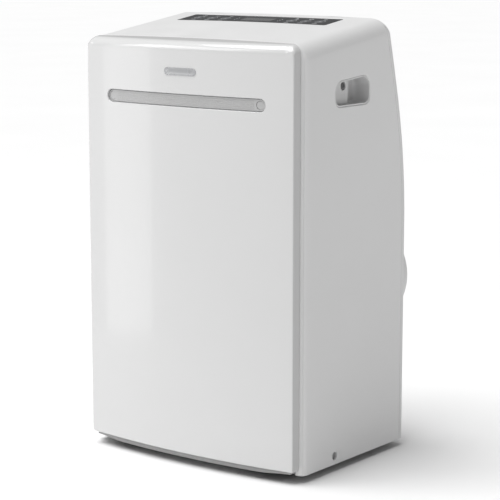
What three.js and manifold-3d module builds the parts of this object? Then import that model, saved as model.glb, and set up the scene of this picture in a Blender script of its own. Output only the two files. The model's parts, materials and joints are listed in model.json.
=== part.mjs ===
// Portable air conditioner on four swivel castors, as an assembly of separate pieces.
// Millimetres. +X is the right-hand side seen from the front, +Y points to the back, +Z is up.
// The origin is on the floor, under the middle of the overall box.

import * as THREE from "three";
import { mergeVertices } from "three/addons/utils/BufferGeometryUtils.js";
import Module from "manifold-3d";

const wasm = await Module();
wasm.setup();

// ---------------------------------------------------------------- driving dimensions

const WIDTH = 460;
const DEPTH = 396;
const WALL = 3;
const GAP = 0.4;

const HALF = WIDTH / 2;
const BOTTOM = 13;

const BADGE = { half: 34, z: 678, rise: 6.5, proud: 0.9 };
const FRONT_Y = BADGE.proud - DEPTH / 2;
const BACK_Y = 147;
const COLLAR_END_Y = DEPTH / 2;
const SEAM_Y = -161;

const TOP_SLOPE = 0.14;
const TOP_Z = 756;
const TOP_CROWN = 2.4;
const TOP_RADIUS = 30;
const TOP_TILT = Math.atan(TOP_SLOPE);

const PANEL_HALF = 222;
const PANEL_BOTTOM = 21;
const PANEL_BOW = 17;
const PANEL_CORNER = 15;
const BOW_RADIUS = (PANEL_HALF ** 2 + PANEL_BOW ** 2) / (2 * PANEL_BOW);

const REAR_STRAIGHT_Z = 400;
const REAR_CURVE_RADIUS = 1000;
const REAR_CURVE_TOP_Z = 640;
const REAR_CORNER = 27;
const REAR_LIFT = 0.05;
const COVER_DEPTH = 14;
const FRAME_LIP = 16;

// Larger than any part of the cabinet, for cutting right through it.
const FAR = 2 * WIDTH;

const SLOT_Z = 630;
const SLOT_HALF_LENGTH = 170;
const SLOT_HALF_HEIGHT = 11;
const LOUVRE_AXIS_Y = -180;
const DUCT_HALF = 176;
const DUCT_HALF_HEIGHT = 18;
const DUCT_BACK_Y = -130;
const LOUVRE_PIN = 1.8;
const LOUVRE_SINK = 3;
const LOUVRE_THICKNESS = 2.4;
const LOUVRE_END_GAP = 1.6;
const LOUVRE_EDGE_GAP = 1.4;
const LOUVRE_EAR = { half: 3.2, width: 4, inset: 12 };
const VANE_COUNT = 5;
const VANE_PIN = 1.5;
const VANE_REACH = 9;
const VANE_PITCH = 60;
const VANE_AXIS_Y = -158;
const VANE_ARM = 17;
const VANE_HALF_HEIGHT = 16.5;
const VANE_HALF_THICKNESS = 0.9;
const VANE_FINGER = 1;
const LINK = { front: 5.4, back: 3.2, low: 2, high: 1, overhang: 8 };
const LINK_SLOT = { half: 1.9, front: 3.8, back: 1.6 };

const CONTROL_HALF = 162;
const CONTROL_FRONT_Y = -10;
const CONTROL_BACK_Y = 48;
const CONTROL_SINK = 2.5;
const CONTROL_LOW = -8;
const CONTROL_CORNER = 4;
const CONTROL_FLANGE = { reach: 6, thickness: 2 };
const CONTROL_PLATE = 2;
const BUTTON_PROUD = 0.8;
const DISPLAY = { half: 34, rise: 12 };
const BUTTON_XS = [-132, -102, -72, 72, 102, 132];
const BUTTON_RADIUS = 7;
const BUTTON_FLANGE = 8.6;
const BUTTON_FLANGE_THICKNESS = 1.5;
const BUTTON_DEPTH = 4;

const HANDLE = {
  front: -75.5,
  back: 28.5,
  low: 621,
  highFront: 664,
  highBack: 673,
  radius: 22,
  lowRadius: 15,
};
const HANDLE_DEPTH = 34;
const HANDLE_SHELF = 12;
const HANDLE_SHELF_Y = -22;
const CUP_WALL = 2.6;
const SCREW_HEAD = 5.4;
const SCREW_HEAD_THICKNESS = 2.4;
const SCREW_SHANK = 2.2;
const SCREW_LENGTH = 14;
const RECESS_DEPTH = 1.2;
const RECESS_HALF_WIDTH = 0.6;
const HANDLE_SCREW = { y: -35, z: 654.5, sunk: 9.4 };
const SIDE_SCREW = { y: -68, z: 28, sunk: 0.8 };

const EXHAUST = { x: 127, z: 304, flange: 95, bore: 66, collar: 65.4, step: 12 };
const FLANGE_END_Y = 172;
const COLLAR_WALL = 4;
const GRIP_REACH = 6;

const INTAKE = { half: 170, low: 470, high: 690, slots: 15, pitch: 12.8 };
const INTAKE_GAP = { low: 1, high: 1.4 };
const INTAKE_MARGIN = { side: 14, low: 16 };
const CONDENSER_WINDOW = { left: -196, right: -20, low: 66, high: 374, slots: 22, margin: 10 };
const SLAT_OPENING = 0.55;
const FILTER = { thickness: 5, columns: 3, rows: 2, border: 8, ribs: 5, ribHalf: 0.6, sunk: 8 };
const GLAND = { x: -209, z: 58, radius: 8, bore: 3.6 };
const DRAIN = { x: 30, z: 36, radius: 9, nozzle: 6 };

const CASTORS = { x: 158, front: -142, back: 100 };
const WHEEL_RADIUS = 19;
const WHEEL_HALF = 8;
const TRAIL = 10;
const WELL_RADIUS = 32;
const WELL_TOP = 46;
const STEM_RADIUS = 4;
const STEM_HEAD_RADIUS = 6.5;
const FORK_CROWN = { radius: 13, thickness: 4 };
const CHEEK = { thickness: 2.4, gap: 0.8, front: 1, behind: 5, below: 5 };

const MID_TRAY_Z = 388;
const MID_TRAY = { side: 2, front: 5, back: 10, rim: 14, wall: 4 };
const TRAY_FLOOR = 19;
const TRAY_RIM = 45;
const PLINTH_INSET = 7;
const AXLE_RADIUS = 2.5;
const PIN_PLAY = 0.2;

const COMPRESSOR = { x: -112, y: -30, radius: 52, top: 236, foot: 12 };
const STUB = { radius: 5.5, setback: 18, low: 12, high: 14 };
const ACCUMULATOR = { x: -32, y: -52, radius: 20, low: 60, top: 190 };
const SUCTION_RADIUS = 5;
const DISCHARGE_RADIUS = 4;

const CONDENSER_COIL = { left: -194, right: -22, front: 106, back: 134, low: 62, high: 380, fins: 16 };
const EVAPORATOR_COIL = { left: -165, right: 165, front: 52, back: 78, low: 404, high: 640, fins: 22 };
const COIL_PLATE = 4;
const COIL_GROOVE = 0.3;

const SHAFT_RADIUS = 5;
const SHAFT_HOLE = 10;
const BLADE_PITCH = 0.5;
const SCROLL_SKIN = 2.5;
const WHEEL_RING = 15;
const WHEEL_HUB = { radius: 14, length: 36, bored: 32 };
const MOTOR_LENGTH = 34;
const MOTOR_BOSS = { radius: 12, length: 6 };
const EVAPORATOR_FAN = {
  x: 0,
  z: 508,
  motorY: -118,
  backY: 6,
  wheelEndY: -8,
  scroll: 98,
  wheel: 82,
  eye: 66,
  motor: 42,
  blades: 11,
};
const CONDENSER_FAN = {
  x: 118,
  z: 166,
  motorY: -8,
  backY: 122,
  wheelEndY: 108,
  scroll: 98,
  wheel: 80,
  eye: 62,
  motor: 40,
  blades: 11,
};
const INLET_DROP = 18;
const DUCT_LEFT = 20;
const RISER_WIDTH = 60;
const ELECTRONICS = { left: 60, right: 212, front: -152, back: -62, low: 60, high: 250 };
const CAPACITOR = { radius: 19, height: 62, inset: 34, forward: 30, tabs: 8, tabHeight: 8 };

// Pipe routes: from the compressor's stub up towards the evaporator, and round behind it to the condenser.
const SUCTION_ROUTE = [
  [COMPRESSOR.x, COMPRESSOR.y - STUB.setback, COMPRESSOR.top + 15],
  [COMPRESSOR.x, COMPRESSOR.y - STUB.setback, COMPRESSOR.top + 60],
  [COMPRESSOR.x - 40, COMPRESSOR.y, COMPRESSOR.top + 90],
  [-180, 20, MID_TRAY_Z - 30],
  [-182, 30, MID_TRAY_Z - 6],
];
const DISCHARGE_ROUTE = [
  [COMPRESSOR.x + 30, COMPRESSOR.y + 60, 90],
  [COMPRESSOR.x + 34, COMPRESSOR.y + 78, 130],
  [COMPRESSOR.x + 20, COMPRESSOR.y + 86, 220],
  [COMPRESSOR.x, COMPRESSOR.y + 96, 300],
  [COMPRESSOR.x - 20, COMPRESSOR.y + 120, 340],
];

// ---------------------------------------------------------------- materials

function plastic(color, roughness = 0.35) {
  return new THREE.MeshStandardMaterial({ color, roughness, metalness: 0 });
}

function metal(color, roughness = 0.4) {
  return new THREE.MeshStandardMaterial({ color, roughness, metalness: 0.9 });
}

const WHITE = 0xeceded;
const GREY = 0xc4c6c8;
const DARK = 0x3c3e41;
const BLACK = 0x1c1c1e;
const STEEL = 0x9a9da1;
const COPPER = 0xb5713f;
const FINS = 0xb9bec3;

// ---------------------------------------------------------------- solids

function toSolid(geometry) {
  const plain = geometry.clone();
  plain.deleteAttribute("normal");
  plain.deleteAttribute("uv");
  const merged = mergeVertices(plain, 1e-4);
  const vertProperties = new Float32Array(merged.attributes.position.array);
  const triVerts = new Uint32Array(merged.index.array);
  return new wasm.Manifold(new wasm.Mesh({ numProp: 3, vertProperties, triVerts }));
}

function toGeometry(solid) {
  const mesh = solid.getMesh();
  const geometry = new THREE.BufferGeometry();
  geometry.setAttribute("position", new THREE.BufferAttribute(new Float32Array(mesh.vertProperties), 3));
  geometry.setIndex(new THREE.BufferAttribute(new Uint32Array(mesh.triVerts), 1));
  return geometry;
}

function join(...geometries) {
  return toGeometry(geometries.map(toSolid).reduce((a, b) => a.add(b)));
}

function cut(base, ...tools) {
  return toGeometry(tools.map(toSolid).reduce((a, b) => a.subtract(b), toSolid(base)));
}

function common(...geometries) {
  return toGeometry(geometries.map(toSolid).reduce((a, b) => a.intersect(b)));
}

function block(x0, x1, y0, y1, z0, z1) {
  const box = new THREE.BoxGeometry(x1 - x0, y1 - y0, z1 - z0);
  return box.translate((x0 + x1) / 2, (y0 + y1) / 2, (z0 + z1) / 2);
}

// A round bar along the named axis, from a to b, centred on the other two coordinates (p, q).
function bar(axis, radius, a, b, p, q, sides = 24) {
  const rod = new THREE.CylinderGeometry(radius, radius, b - a, sides);
  const middle = (a + b) / 2;
  if (axis === "x") return rod.rotateZ(Math.PI / 2).translate(middle, p, q);
  if (axis === "y") return rod.translate(p, middle, q);
  return rod.rotateX(Math.PI / 2).translate(p, q, middle);
}

function extrude(shape, depth, curveSegments) {
  return new THREE.ExtrudeGeometry(shape, { depth, bevelEnabled: false, curveSegments });
}

// Outlines drawn in (y, z), (x, z) or (x, y) and extruded along the third axis.
function alongX(shape, x0, x1, curveSegments = 6) {
  const turn = new THREE.Matrix4().makeBasis(
    new THREE.Vector3(0, 1, 0),
    new THREE.Vector3(0, 0, 1),
    new THREE.Vector3(1, 0, 0),
  );
  return extrude(shape, x1 - x0, curveSegments).applyMatrix4(turn).translate(x0, 0, 0);
}

function alongY(shape, y0, y1, curveSegments = 6) {
  return extrude(shape, y1 - y0, curveSegments).rotateX(Math.PI / 2).translate(0, y1, 0);
}

function alongZ(shape, z0, z1, curveSegments = 6) {
  return extrude(shape, z1 - z0, curveSegments).translate(0, 0, z0);
}

function roundedRect(x0, x1, y0, y1, radius) {
  const shape = new THREE.Shape();
  shape.moveTo(x0 + radius, y0);
  shape.lineTo(x1 - radius, y0);
  shape.absarc(x1 - radius, y0 + radius, radius, -Math.PI / 2, 0, false);
  shape.lineTo(x1, y1 - radius);
  shape.absarc(x1 - radius, y1 - radius, radius, 0, Math.PI / 2, false);
  shape.lineTo(x0 + radius, y1);
  shape.absarc(x0 + radius, y1 - radius, radius, Math.PI / 2, Math.PI, false);
  shape.lineTo(x0, y0 + radius);
  shape.absarc(x0 + radius, y0 + radius, radius, Math.PI, Math.PI * 1.5, false);
  return shape;
}

function tube(points, radius, sides = 8, steps = 14) {
  const section = new THREE.Shape();
  section.absarc(0, 0, radius, 0, Math.PI * 2, false);
  const extrudePath = new THREE.CatmullRomCurve3(points.map((p) => new THREE.Vector3(...p)));
  return new THREE.ExtrudeGeometry(section, { steps, curveSegments: sides / 2, extrudePath });
}

const group = new THREE.Group();

function add(name, geometry, material, parent = group) {
  const mesh = new THREE.Mesh(geometry, material);
  mesh.name = name;
  parent.add(mesh);
  return mesh;
}

// ---------------------------------------------------------------- cabinet envelope

function topHeight(y) {
  return TOP_Z + TOP_SLOPE * y;
}

// Front view of the cabinet: straight sides, rounded shoulders and a slightly crowned top.
function archShape(half, top, radius, crown = TOP_CROWN) {
  const shoulder = top - crown;
  const shape = new THREE.Shape();
  shape.moveTo(-half, -WIDTH);
  shape.lineTo(half, -WIDTH);
  shape.lineTo(half, shoulder - radius);
  shape.absarc(half - radius, shoulder - radius, radius, 0, Math.PI / 2, false);
  shape.quadraticCurveTo(0, top + crown, radius - half, shoulder);
  shape.absarc(radius - half, shoulder - radius, radius, Math.PI / 2, Math.PI, false);
  shape.lineTo(-half, -WIDTH);
  return shape;
}

// The arch run along the sloping top.
function archSolid(half, top, radius, crown) {
  const shear = new THREE.Matrix4().makeShear(0, 0, 0, TOP_SLOPE, 0, 0);
  return alongY(archShape(half, top, radius, crown), -DEPTH, DEPTH, 3).applyMatrix4(shear);
}

function rearSlopeAngle() {
  return Math.asin((REAR_CURVE_TOP_Z - REAR_STRAIGHT_Z) / REAR_CURVE_RADIUS);
}

// Depth of the cabinet's back at a height: upright, then an arc, then a straight lean.
function rearY(z) {
  if (z <= REAR_STRAIGHT_Z) return BACK_Y;
  const angle = Math.min(Math.asin((z - REAR_STRAIGHT_Z) / REAR_CURVE_RADIUS), rearSlopeAngle());
  const above = Math.max(0, z - REAR_CURVE_TOP_Z);
  return BACK_Y - REAR_CURVE_RADIUS * (1 - Math.cos(angle)) - above * Math.tan(rearSlopeAngle());
}

// Side view of the cabinet, its back edge moved forward by inset.
function sideSolid(inset, bottom = BOTTOM) {
  const lean = Math.tan(rearSlopeAngle());
  const startY = rearY(REAR_CURVE_TOP_Z) + lean * (REAR_CURVE_TOP_Z - TOP_Z);
  const cornerY = startY / (1 + lean * TOP_SLOPE);
  const corner = new THREE.Vector2(cornerY - inset, topHeight(cornerY) + REAR_LIFT);
  const angle = rearSlopeAngle();
  const centreY = BACK_Y - REAR_CURVE_RADIUS - inset;
  const shape = new THREE.Shape();
  shape.moveTo(-DEPTH, bottom);
  shape.lineTo(BACK_Y - inset, bottom);
  shape.lineTo(BACK_Y - inset, REAR_STRAIGHT_Z);
  shape.absarc(centreY, REAR_STRAIGHT_Z, REAR_CURVE_RADIUS, 0, angle, false);
  shape.lineTo(corner.x + REAR_CORNER * Math.sin(angle), corner.y - REAR_CORNER * Math.cos(angle));
  shape.quadraticCurveTo(corner.x, corner.y, corner.x - REAR_CORNER, corner.y - REAR_CORNER * TOP_SLOPE);
  shape.lineTo(-DEPTH, corner.y - (DEPTH + corner.x) * TOP_SLOPE);
  return alongX(shape, -WIDTH, WIDTH, 3);
}

const outerArch = archSolid(HALF, TOP_Z, TOP_RADIUS);
const innerArch = archSolid(HALF - WALL, TOP_Z - WALL, TOP_RADIUS - WALL);

// ---------------------------------------------------------------- handle outline

// Finger recess in the side: level bottom edge, and a top edge that rises to the back.
function handleShape(grow) {
  const front = HANDLE.front - grow;
  const back = HANDLE.back + grow;
  const low = HANDLE.low - grow;
  const highFront = HANDLE.highFront + grow;
  const highBack = HANDLE.highBack + grow;
  const radius = HANDLE.radius + grow;
  const small = HANDLE.lowRadius + grow;
  const shape = new THREE.Shape();
  shape.moveTo(front + small, low);
  shape.lineTo(back - small, low);
  shape.absarc(back - small, low + small, small, -Math.PI / 2, 0, false);
  shape.lineTo(back, highBack - radius);
  shape.absarc(back - radius, highBack - radius, radius, 0, Math.PI / 2, false);
  shape.lineTo(front + radius, highFront);
  shape.absarc(front + radius, highFront - radius, radius, Math.PI / 2, Math.PI, false);
  shape.lineTo(front, low + small);
  shape.absarc(front + small, low + small, small, Math.PI, Math.PI * 1.5, false);
  return shape;
}

// The range from near to far, mirrored when the side is the left one.
function sideSpan(side, near, far) {
  return side > 0 ? [near, far] : [-far, -near];
}

// ---------------------------------------------------------------- covers

function cabinetShell() {
  const outline = sideSolid(COVER_DEPTH + GAP);
  const front = block(-WIDTH, WIDTH, SEAM_Y, DEPTH, 0, TOP_Z * 2);
  const lip = cut(
    common(outerArch, block(-WIDTH, WIDTH, SEAM_Y, SEAM_Y + WALL, BOTTOM, TOP_Z)),
    archSolid(HALF - FRAME_LIP, TOP_Z - FRAME_LIP, TOP_RADIUS - FRAME_LIP),
  );
  let shell = join(cut(common(outerArch, outline, front), innerArch), lip);
  for (const side of [-1, 1]) {
    const [x0, x1] = sideSpan(side, HALF - 2 * WALL, HALF + WALL);
    const recess = alongX(handleShape(0), x0, x1, 3);
    const screwHole = bar("x", SCREW_HEAD + 1, x0, x1, SIDE_SCREW.y, SIDE_SCREW.z, 16);
    shell = cut(shell, recess, screwHole);
  }
  return cut(shell, controlOpening());
}

// A prism through the cabinet's wall, square to the sloping top, that the control strip lies in.
function controlOpening() {
  const reach = 20;
  const prism = alongZ(controlOutline(0), -reach, reach, 3);
  return prism.rotateX(TOP_TILT).translate(0, controlY(), topHeight(controlY()));
}

function controlOutline(grow) {
  const halfDepth = (CONTROL_BACK_Y - CONTROL_FRONT_Y) / 2 + grow;
  const half = CONTROL_HALF + grow;
  return roundedRect(-half, half, -halfDepth, halfDepth, CONTROL_CORNER + grow);
}

function controlY() {
  return (CONTROL_FRONT_Y + CONTROL_BACK_Y) / 2;
}

function rearCover() {
  const inside = common(innerArch, sideSolid(WALL, -BOTTOM));
  const skin = cut(common(outerArch, sideSolid(0)), sideSolid(COVER_DEPTH, -BOTTOM), inside);
  const c = CONDENSER_WINDOW;
  return cut(
    skin,
    block(-INTAKE.half, INTAKE.half, 0, DEPTH, INTAKE.low, INTAKE.high),
    block(c.left, c.right, 0, DEPTH, c.low, c.high),
    bar("y", EXHAUST.flange - EXHAUST.step, 0, DEPTH, EXHAUST.x, EXHAUST.z, 36),
    bar("y", GLAND.radius + GAP, 0, DEPTH, GLAND.x, GLAND.z, 16),
    bar("y", DRAIN.radius + GAP, 0, DEPTH, DRAIN.x, DRAIN.z, 16),
  );
}

// The panel's side-view outline swept along the bow of the front, every face moved inwards by inset.
function bowedSolid(inset, bottom) {
  const front = FRONT_Y + inset;
  const top = topHeight(front) - inset;
  const back = 0;
  const radius = PANEL_CORNER - inset;
  const shape = new THREE.Shape();
  shape.moveTo(-bottom, back);
  shape.lineTo(-bottom, front);
  shape.lineTo(radius - top, front);
  shape.absarc(radius - top, front + radius, radius, -Math.PI / 2, -Math.PI, true);
  shape.lineTo(-topHeight(back) + inset, back);
  shape.lineTo(-bottom, back);
  const overrun = 1.25;
  const arc = new BowCurve(overrun * Math.asin(PANEL_HALF / BOW_RADIUS));
  return new THREE.ExtrudeGeometry(shape, { steps: 10, curveSegments: 3, extrudePath: arc });
}

// Arc in plan that the front panel follows, passing through the origin at its middle.
class BowCurve extends THREE.Curve {
  constructor(angle) {
    super();
    this.angle = angle;
  }

  getPoint(t, target = new THREE.Vector3()) {
    const turn = (2 * t - 1) * this.angle;
    return target.set(BOW_RADIUS * Math.sin(turn), BOW_RADIUS * (1 - Math.cos(turn)), 0);
  }
}

function frontPanel() {
  const backLimit = SEAM_Y - GAP;
  const region = block(-PANEL_HALF, PANEL_HALF, -DEPTH, backLimit, PANEL_BOTTOM, TOP_Z);
  const arch = archSolid(PANEL_HALF, TOP_Z, PANEL_CORNER);
  const outer = common(bowedSolid(0, PANEL_BOTTOM), arch, region);
  const hollow = common(
    bowedSolid(WALL, PANEL_BOTTOM + WALL),
    archSolid(PANEL_HALF - WALL, TOP_Z - WALL, PANEL_CORNER - WALL),
  );
  const radius = SLOT_HALF_HEIGHT;
  const slot = roundedRect(-SLOT_HALF_LENGTH, SLOT_HALF_LENGTH, SLOT_Z - radius, SLOT_Z + radius, radius);
  const lipBack = FRONT_Y + PANEL_BOW + 1;
  const lipCut = block(
    WALL - PANEL_HALF, PANEL_HALF - WALL, lipBack, SEAM_Y + WALL, 0, PANEL_BOTTOM + 2 * WALL,
  );
  return cut(outer, hollow, lipCut, alongY(slot, -DEPTH, SEAM_Y, 5));
}

// ---------------------------------------------------------------- front panel fittings

function badge() {
  const low = BADGE.z - BADGE.rise;
  const high = BADGE.z + BADGE.rise;
  const outline = roundedRect(-BADGE.half, BADGE.half, low, high, BADGE.rise);
  return alongY(outline, FRONT_Y - BADGE.proud, FRONT_Y - 0.2 * GAP, 6);
}

function bowY(x, inset = 0) {
  return FRONT_Y + inset + x ** 2 / (2 * BOW_RADIUS);
}

// Duct frame behind the slot: holds the louvre's pins, the vanes' pins and the link bar.
function outletDuct() {
  const half = DUCT_HALF + WALL;
  const rise = DUCT_HALF_HEIGHT + WALL;
  const frontY = LOUVRE_AXIS_Y - WALL;
  const outer = block(-half, half, frontY, DUCT_BACK_Y, SLOT_Z - rise, SLOT_Z + rise);
  const inner = block(
    -DUCT_HALF, DUCT_HALF, -DEPTH, 0, SLOT_Z - DUCT_HALF_HEIGHT, SLOT_Z + DUCT_HALF_HEIGHT,
  );
  const pinBore = bar("x", LOUVRE_PIN + PIN_PLAY, -HALF, HALF, LOUVRE_AXIS_Y, SLOT_Z, 16);
  const vaneBores = vaneXs().map((x) => {
    return bar("z", VANE_PIN + PIN_PLAY, SLOT_Z - HALF, SLOT_Z + HALF, x, VANE_AXIS_Y, 8);
  });
  return cut(outer, inner, pinBore, ...vaneBores);
}

function vaneXs() {
  const first = (-(VANE_COUNT - 1) / 2) * VANE_PITCH;
  return Array.from({ length: VANE_COUNT }, (_, i) => first + i * VANE_PITCH);
}

// Narrow blade that closes the slot, with a rib on its back and a pin at each end.
function louvre() {
  const half = SLOT_HALF_LENGTH - LOUVRE_END_GAP;
  const rise = SLOT_HALF_HEIGHT - LOUVRE_EDGE_GAP;
  const outline = roundedRect(-half, half, SLOT_Z - rise, SLOT_Z + rise, rise);
  const blade = cut(
    common(alongY(outline, -DEPTH, 0, 5), bowedSolid(LOUVRE_SINK, PANEL_BOTTOM)),
    bowedSolid(LOUVRE_SINK + LOUVRE_THICKNESS, PANEL_BOTTOM),
  );
  const ear = LOUVRE_EAR;
  const earMiddle = half - ear.inset - ear.width / 2;
  const pinEnd = DUCT_HALF + WALL - 3 * PIN_PLAY;
  const frontY = bowY(earMiddle, LOUVRE_SINK + LOUVRE_THICKNESS / 2);
  const ears = [-1, 1].map((side) => {
    const [x0, x1] = sideSpan(side, half - ear.inset - ear.width, half - ear.inset);
    return block(x0, x1, frontY, LOUVRE_AXIS_Y + ear.half, SLOT_Z - ear.half, SLOT_Z + ear.half);
  });
  const pins = [-1, 1].map((side) => {
    const [x0, x1] = sideSpan(side, earMiddle, pinEnd);
    return bar("x", LOUVRE_PIN, x0, x1, LOUVRE_AXIS_Y, SLOT_Z, 16);
  });
  return join(blade, ...ears, ...pins);
}

// Upright guide vane turning on its two pins, with an arm at the back for the link bar.
function vane(x) {
  const low = SLOT_Z - VANE_HALF_HEIGHT;
  const high = SLOT_Z + VANE_HALF_HEIGHT;
  const left = x - VANE_HALF_THICKNESS;
  const right = x + VANE_HALF_THICKNESS;
  const backY = VANE_AXIS_Y + VANE_REACH;
  const armY = VANE_AXIS_Y + VANE_ARM;
  const blade = block(left, right, VANE_AXIS_Y - VANE_REACH, backY, low, high);
  const pivot = bar("z", VANE_PIN, low - WALL - 1, high + WALL + 1, x, VANE_AXIS_Y, 8);
  const arm = block(left, right, backY - 1, armY + 1.2, SLOT_Z + 3, SLOT_Z + 5);
  const finger = bar("z", VANE_FINGER, SLOT_Z - 4, SLOT_Z + 4, x, armY, 8);
  return join(blade, pivot, arm, finger);
}

// Bar with a slot round each vane's finger, so that the vanes turn together.
function vaneLink() {
  const reach = vaneXs()[VANE_COUNT - 1] + LINK.overhang;
  const y = VANE_AXIS_Y + VANE_ARM;
  const rod = block(-reach, reach, y - LINK.front, y + LINK.back, SLOT_Z - LINK.low, SLOT_Z + LINK.high);
  const slots = vaneXs().map((x) => {
    const [left, right] = [x - LINK_SLOT.half, x + LINK_SLOT.half];
    return block(left, right, y - LINK_SLOT.front, y + LINK_SLOT.back, SLOT_Z - 4, SLOT_Z + 4);
  });
  return cut(rod, ...slots);
}

// ---------------------------------------------------------------- control strip

const control = new THREE.Group();
control.position.set(0, controlY(), topHeight(controlY()));
control.rotation.x = TOP_TILT;
group.add(control);

// Plate lying in the cabinet's opening, on a flange below the cabinet's wall.
function controlPanel() {
  const plate = alongZ(controlOutline(-GAP), CONTROL_LOW, -CONTROL_SINK, 3);
  const rim = controlOutline(CONTROL_FLANGE.reach);
  const flange = alongZ(rim, CONTROL_LOW - CONTROL_FLANGE.thickness, CONTROL_LOW, 3);
  const underside = -CONTROL_SINK - CONTROL_PLATE;
  const holes = BUTTON_XS.flatMap((x) => [
    bar("z", BUTTON_RADIUS + GAP, -HALF, HALF, x, 0, 12),
    bar("z", BUTTON_FLANGE + GAP, -HALF, underside, x, 0, 8),
  ]);
  const window = block(-DISPLAY.half, DISPLAY.half, -DISPLAY.rise, DISPLAY.rise, underside, 0);
  return cut(join(plate, flange), window, ...holes);
}

function displayWindow() {
  const half = DISPLAY.half - GAP;
  const rise = DISPLAY.rise - GAP;
  const outline = roundedRect(-half, half, -rise, rise, 2);
  return alongZ(outline, -CONTROL_SINK - CONTROL_PLATE + GAP, -CONTROL_SINK + GAP / 2, 3);
}

function button(x) {
  const cap = bar("z", BUTTON_RADIUS, -CONTROL_SINK - BUTTON_DEPTH, BUTTON_PROUD - CONTROL_SINK, x, 0, 12);
  const top = -CONTROL_SINK - CONTROL_PLATE - GAP;
  const flange = bar("z", BUTTON_FLANGE, top - BUTTON_FLANGE_THICKNESS, top, x, 0, 8);
  return join(cap, flange);
}

// ---------------------------------------------------------------- handles and side screws

// Finger cup: a deep pocket at the back, a shallow shelf with the fixing screw at the front.
function handleCup(side) {
  const reach = (near, far) => sideSpan(side, HALF - near, HALF - far);
  const inside = handleShape(-GAP - CUP_WALL);
  const body = alongX(handleShape(-GAP), ...reach(HANDLE_DEPTH, GAP), 3);
  const deep = alongX(inside, ...reach(HANDLE_DEPTH - WALL, -WALL), 3);
  const shallow = alongX(inside, ...reach(HANDLE_SHELF, -WALL), 3);
  const behind = alongX(inside, ...reach(HANDLE_DEPTH + WALL, HANDLE_SHELF + WALL), 3);
  const back = block(-WIDTH, WIDTH, HANDLE_SHELF_Y, HALF, 0, TOP_Z);
  const front = block(-WIDTH, WIDTH, -HALF, HANDLE_SHELF_Y - WALL, 0, TOP_Z);
  const { y, z } = HANDLE_SCREW;
  const screwHole = bar("x", SCREW_SHANK + GAP, ...reach(HANDLE_DEPTH, -WALL), y, z, 12);
  return cut(body, common(deep, back), shallow, common(behind, front), screwHole);
}

// Cross-recessed screw, its head facing out of the given side and sunk below it.
function screw(side, { y, z, sunk }) {
  const reach = (near, far) => sideSpan(side, HALF - near, HALF - far);
  const head = bar("x", SCREW_HEAD, ...reach(sunk + SCREW_HEAD_THICKNESS, sunk), y, z, 16);
  const shank = bar("x", SCREW_SHANK, ...reach(sunk + SCREW_LENGTH, sunk + 2), y, z, 10);
  const recess = reach(sunk + RECESS_DEPTH, sunk - 1);
  const arm = SCREW_HEAD * 0.6;
  const half = RECESS_HALF_WIDTH;
  const wide = block(...recess, y - arm, y + arm, z - half, z + half);
  const tall = block(...recess, y - half, y + half, z - arm, z + arm);
  return cut(join(head, shank), join(wide, tall));
}

// ---------------------------------------------------------------- base and castors

const CASTOR_PLACES = [
  ["front_left", -CASTORS.x, CASTORS.front],
  ["front_right", CASTORS.x, CASTORS.front],
  ["rear_left", -CASTORS.x, CASTORS.back],
  ["rear_right", CASTORS.x, CASTORS.back],
];

// Floor pan with a bowed plinth in front, an upstand all round and a well for each castor.
function baseTray() {
  const half = HALF - WALL - GAP;
  const front = SEAM_Y + WALL + GAP;
  const back = BACK_Y - WALL - GAP;
  const plinthHalf = HALF - FRAME_LIP - GAP;
  const plinth = common(
    bowedSolid(PLINTH_INSET, BOTTOM),
    block(-plinthHalf, plinthHalf, FRONT_Y, front + WALL, BOTTOM, PANEL_BOTTOM - GAP),
  );
  const floor = block(-half, half, front, back, BOTTOM, TRAY_FLOOR);
  const rim = cut(
    block(-half, half, front, back, TRAY_FLOOR - 1, TRAY_RIM),
    block(WALL - half, half - WALL, front + WALL, back - WALL, 0, HALF),
  );
  const domes = CASTOR_PLACES.map(([, x, y]) => {
    return bar("z", WELL_RADIUS + WALL, BOTTOM, WELL_TOP + 4, x, y, 18);
  });
  const nozzle = bar("y", DRAIN.nozzle, back - WALL, BACK_Y + 6, DRAIN.x, DRAIN.z, 16);
  const pockets = CASTOR_PLACES.map(([, x, y]) => bar("z", WELL_RADIUS, 0, WELL_TOP, x, y, 18));
  const stemHoles = CASTOR_PLACES.map(([, x, y]) => {
    return bar("z", STEM_RADIUS + PIN_PLAY * 2, 0, HALF, x, y, 10);
  });
  const screwHoles = bar("x", SCREW_SHANK + GAP, -HALF, HALF, SIDE_SCREW.y, SIDE_SCREW.z, 12);
  const bore = bar("y", DRAIN.nozzle - 2.5, BACK_Y - 20, DEPTH, DRAIN.x, DRAIN.z, 12);
  return cut(join(plinth, floor, rim, ...domes, nozzle), ...pockets, ...stemHoles, screwHoles, bore);
}

// Swivel fork: crown, headed stem, two cheeks and the axle pin between them.
function castorFork(x, y) {
  const crownTop = WELL_TOP - 1;
  const crown = bar("z", FORK_CROWN.radius, crownTop - FORK_CROWN.thickness, crownTop, x, y, 12);
  const stem = bar("z", STEM_RADIUS, crownTop - 1, WELL_TOP + 8, x, y, 10);
  const head = bar("z", STEM_HEAD_RADIUS, WELL_TOP + 5, WELL_TOP + 10, x, y, 8);
  const inner = WHEEL_HALF + CHEEK.gap;
  const outer = inner + CHEEK.thickness;
  const cheeks = [-1, 1].map((side) => {
    const [a, b] = sideSpan(side, inner, outer);
    const [low, high] = [WHEEL_RADIUS - CHEEK.below, WELL_TOP - 4];
    return block(x + a, x + b, y + CHEEK.front, y + TRAIL + CHEEK.behind, low, high);
  });
  const axle = bar("x", AXLE_RADIUS, x - outer + 1, x + outer - 1, y + TRAIL, WHEEL_RADIUS, 12);
  return join(crown, stem, head, ...cheeks, axle);
}

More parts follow.
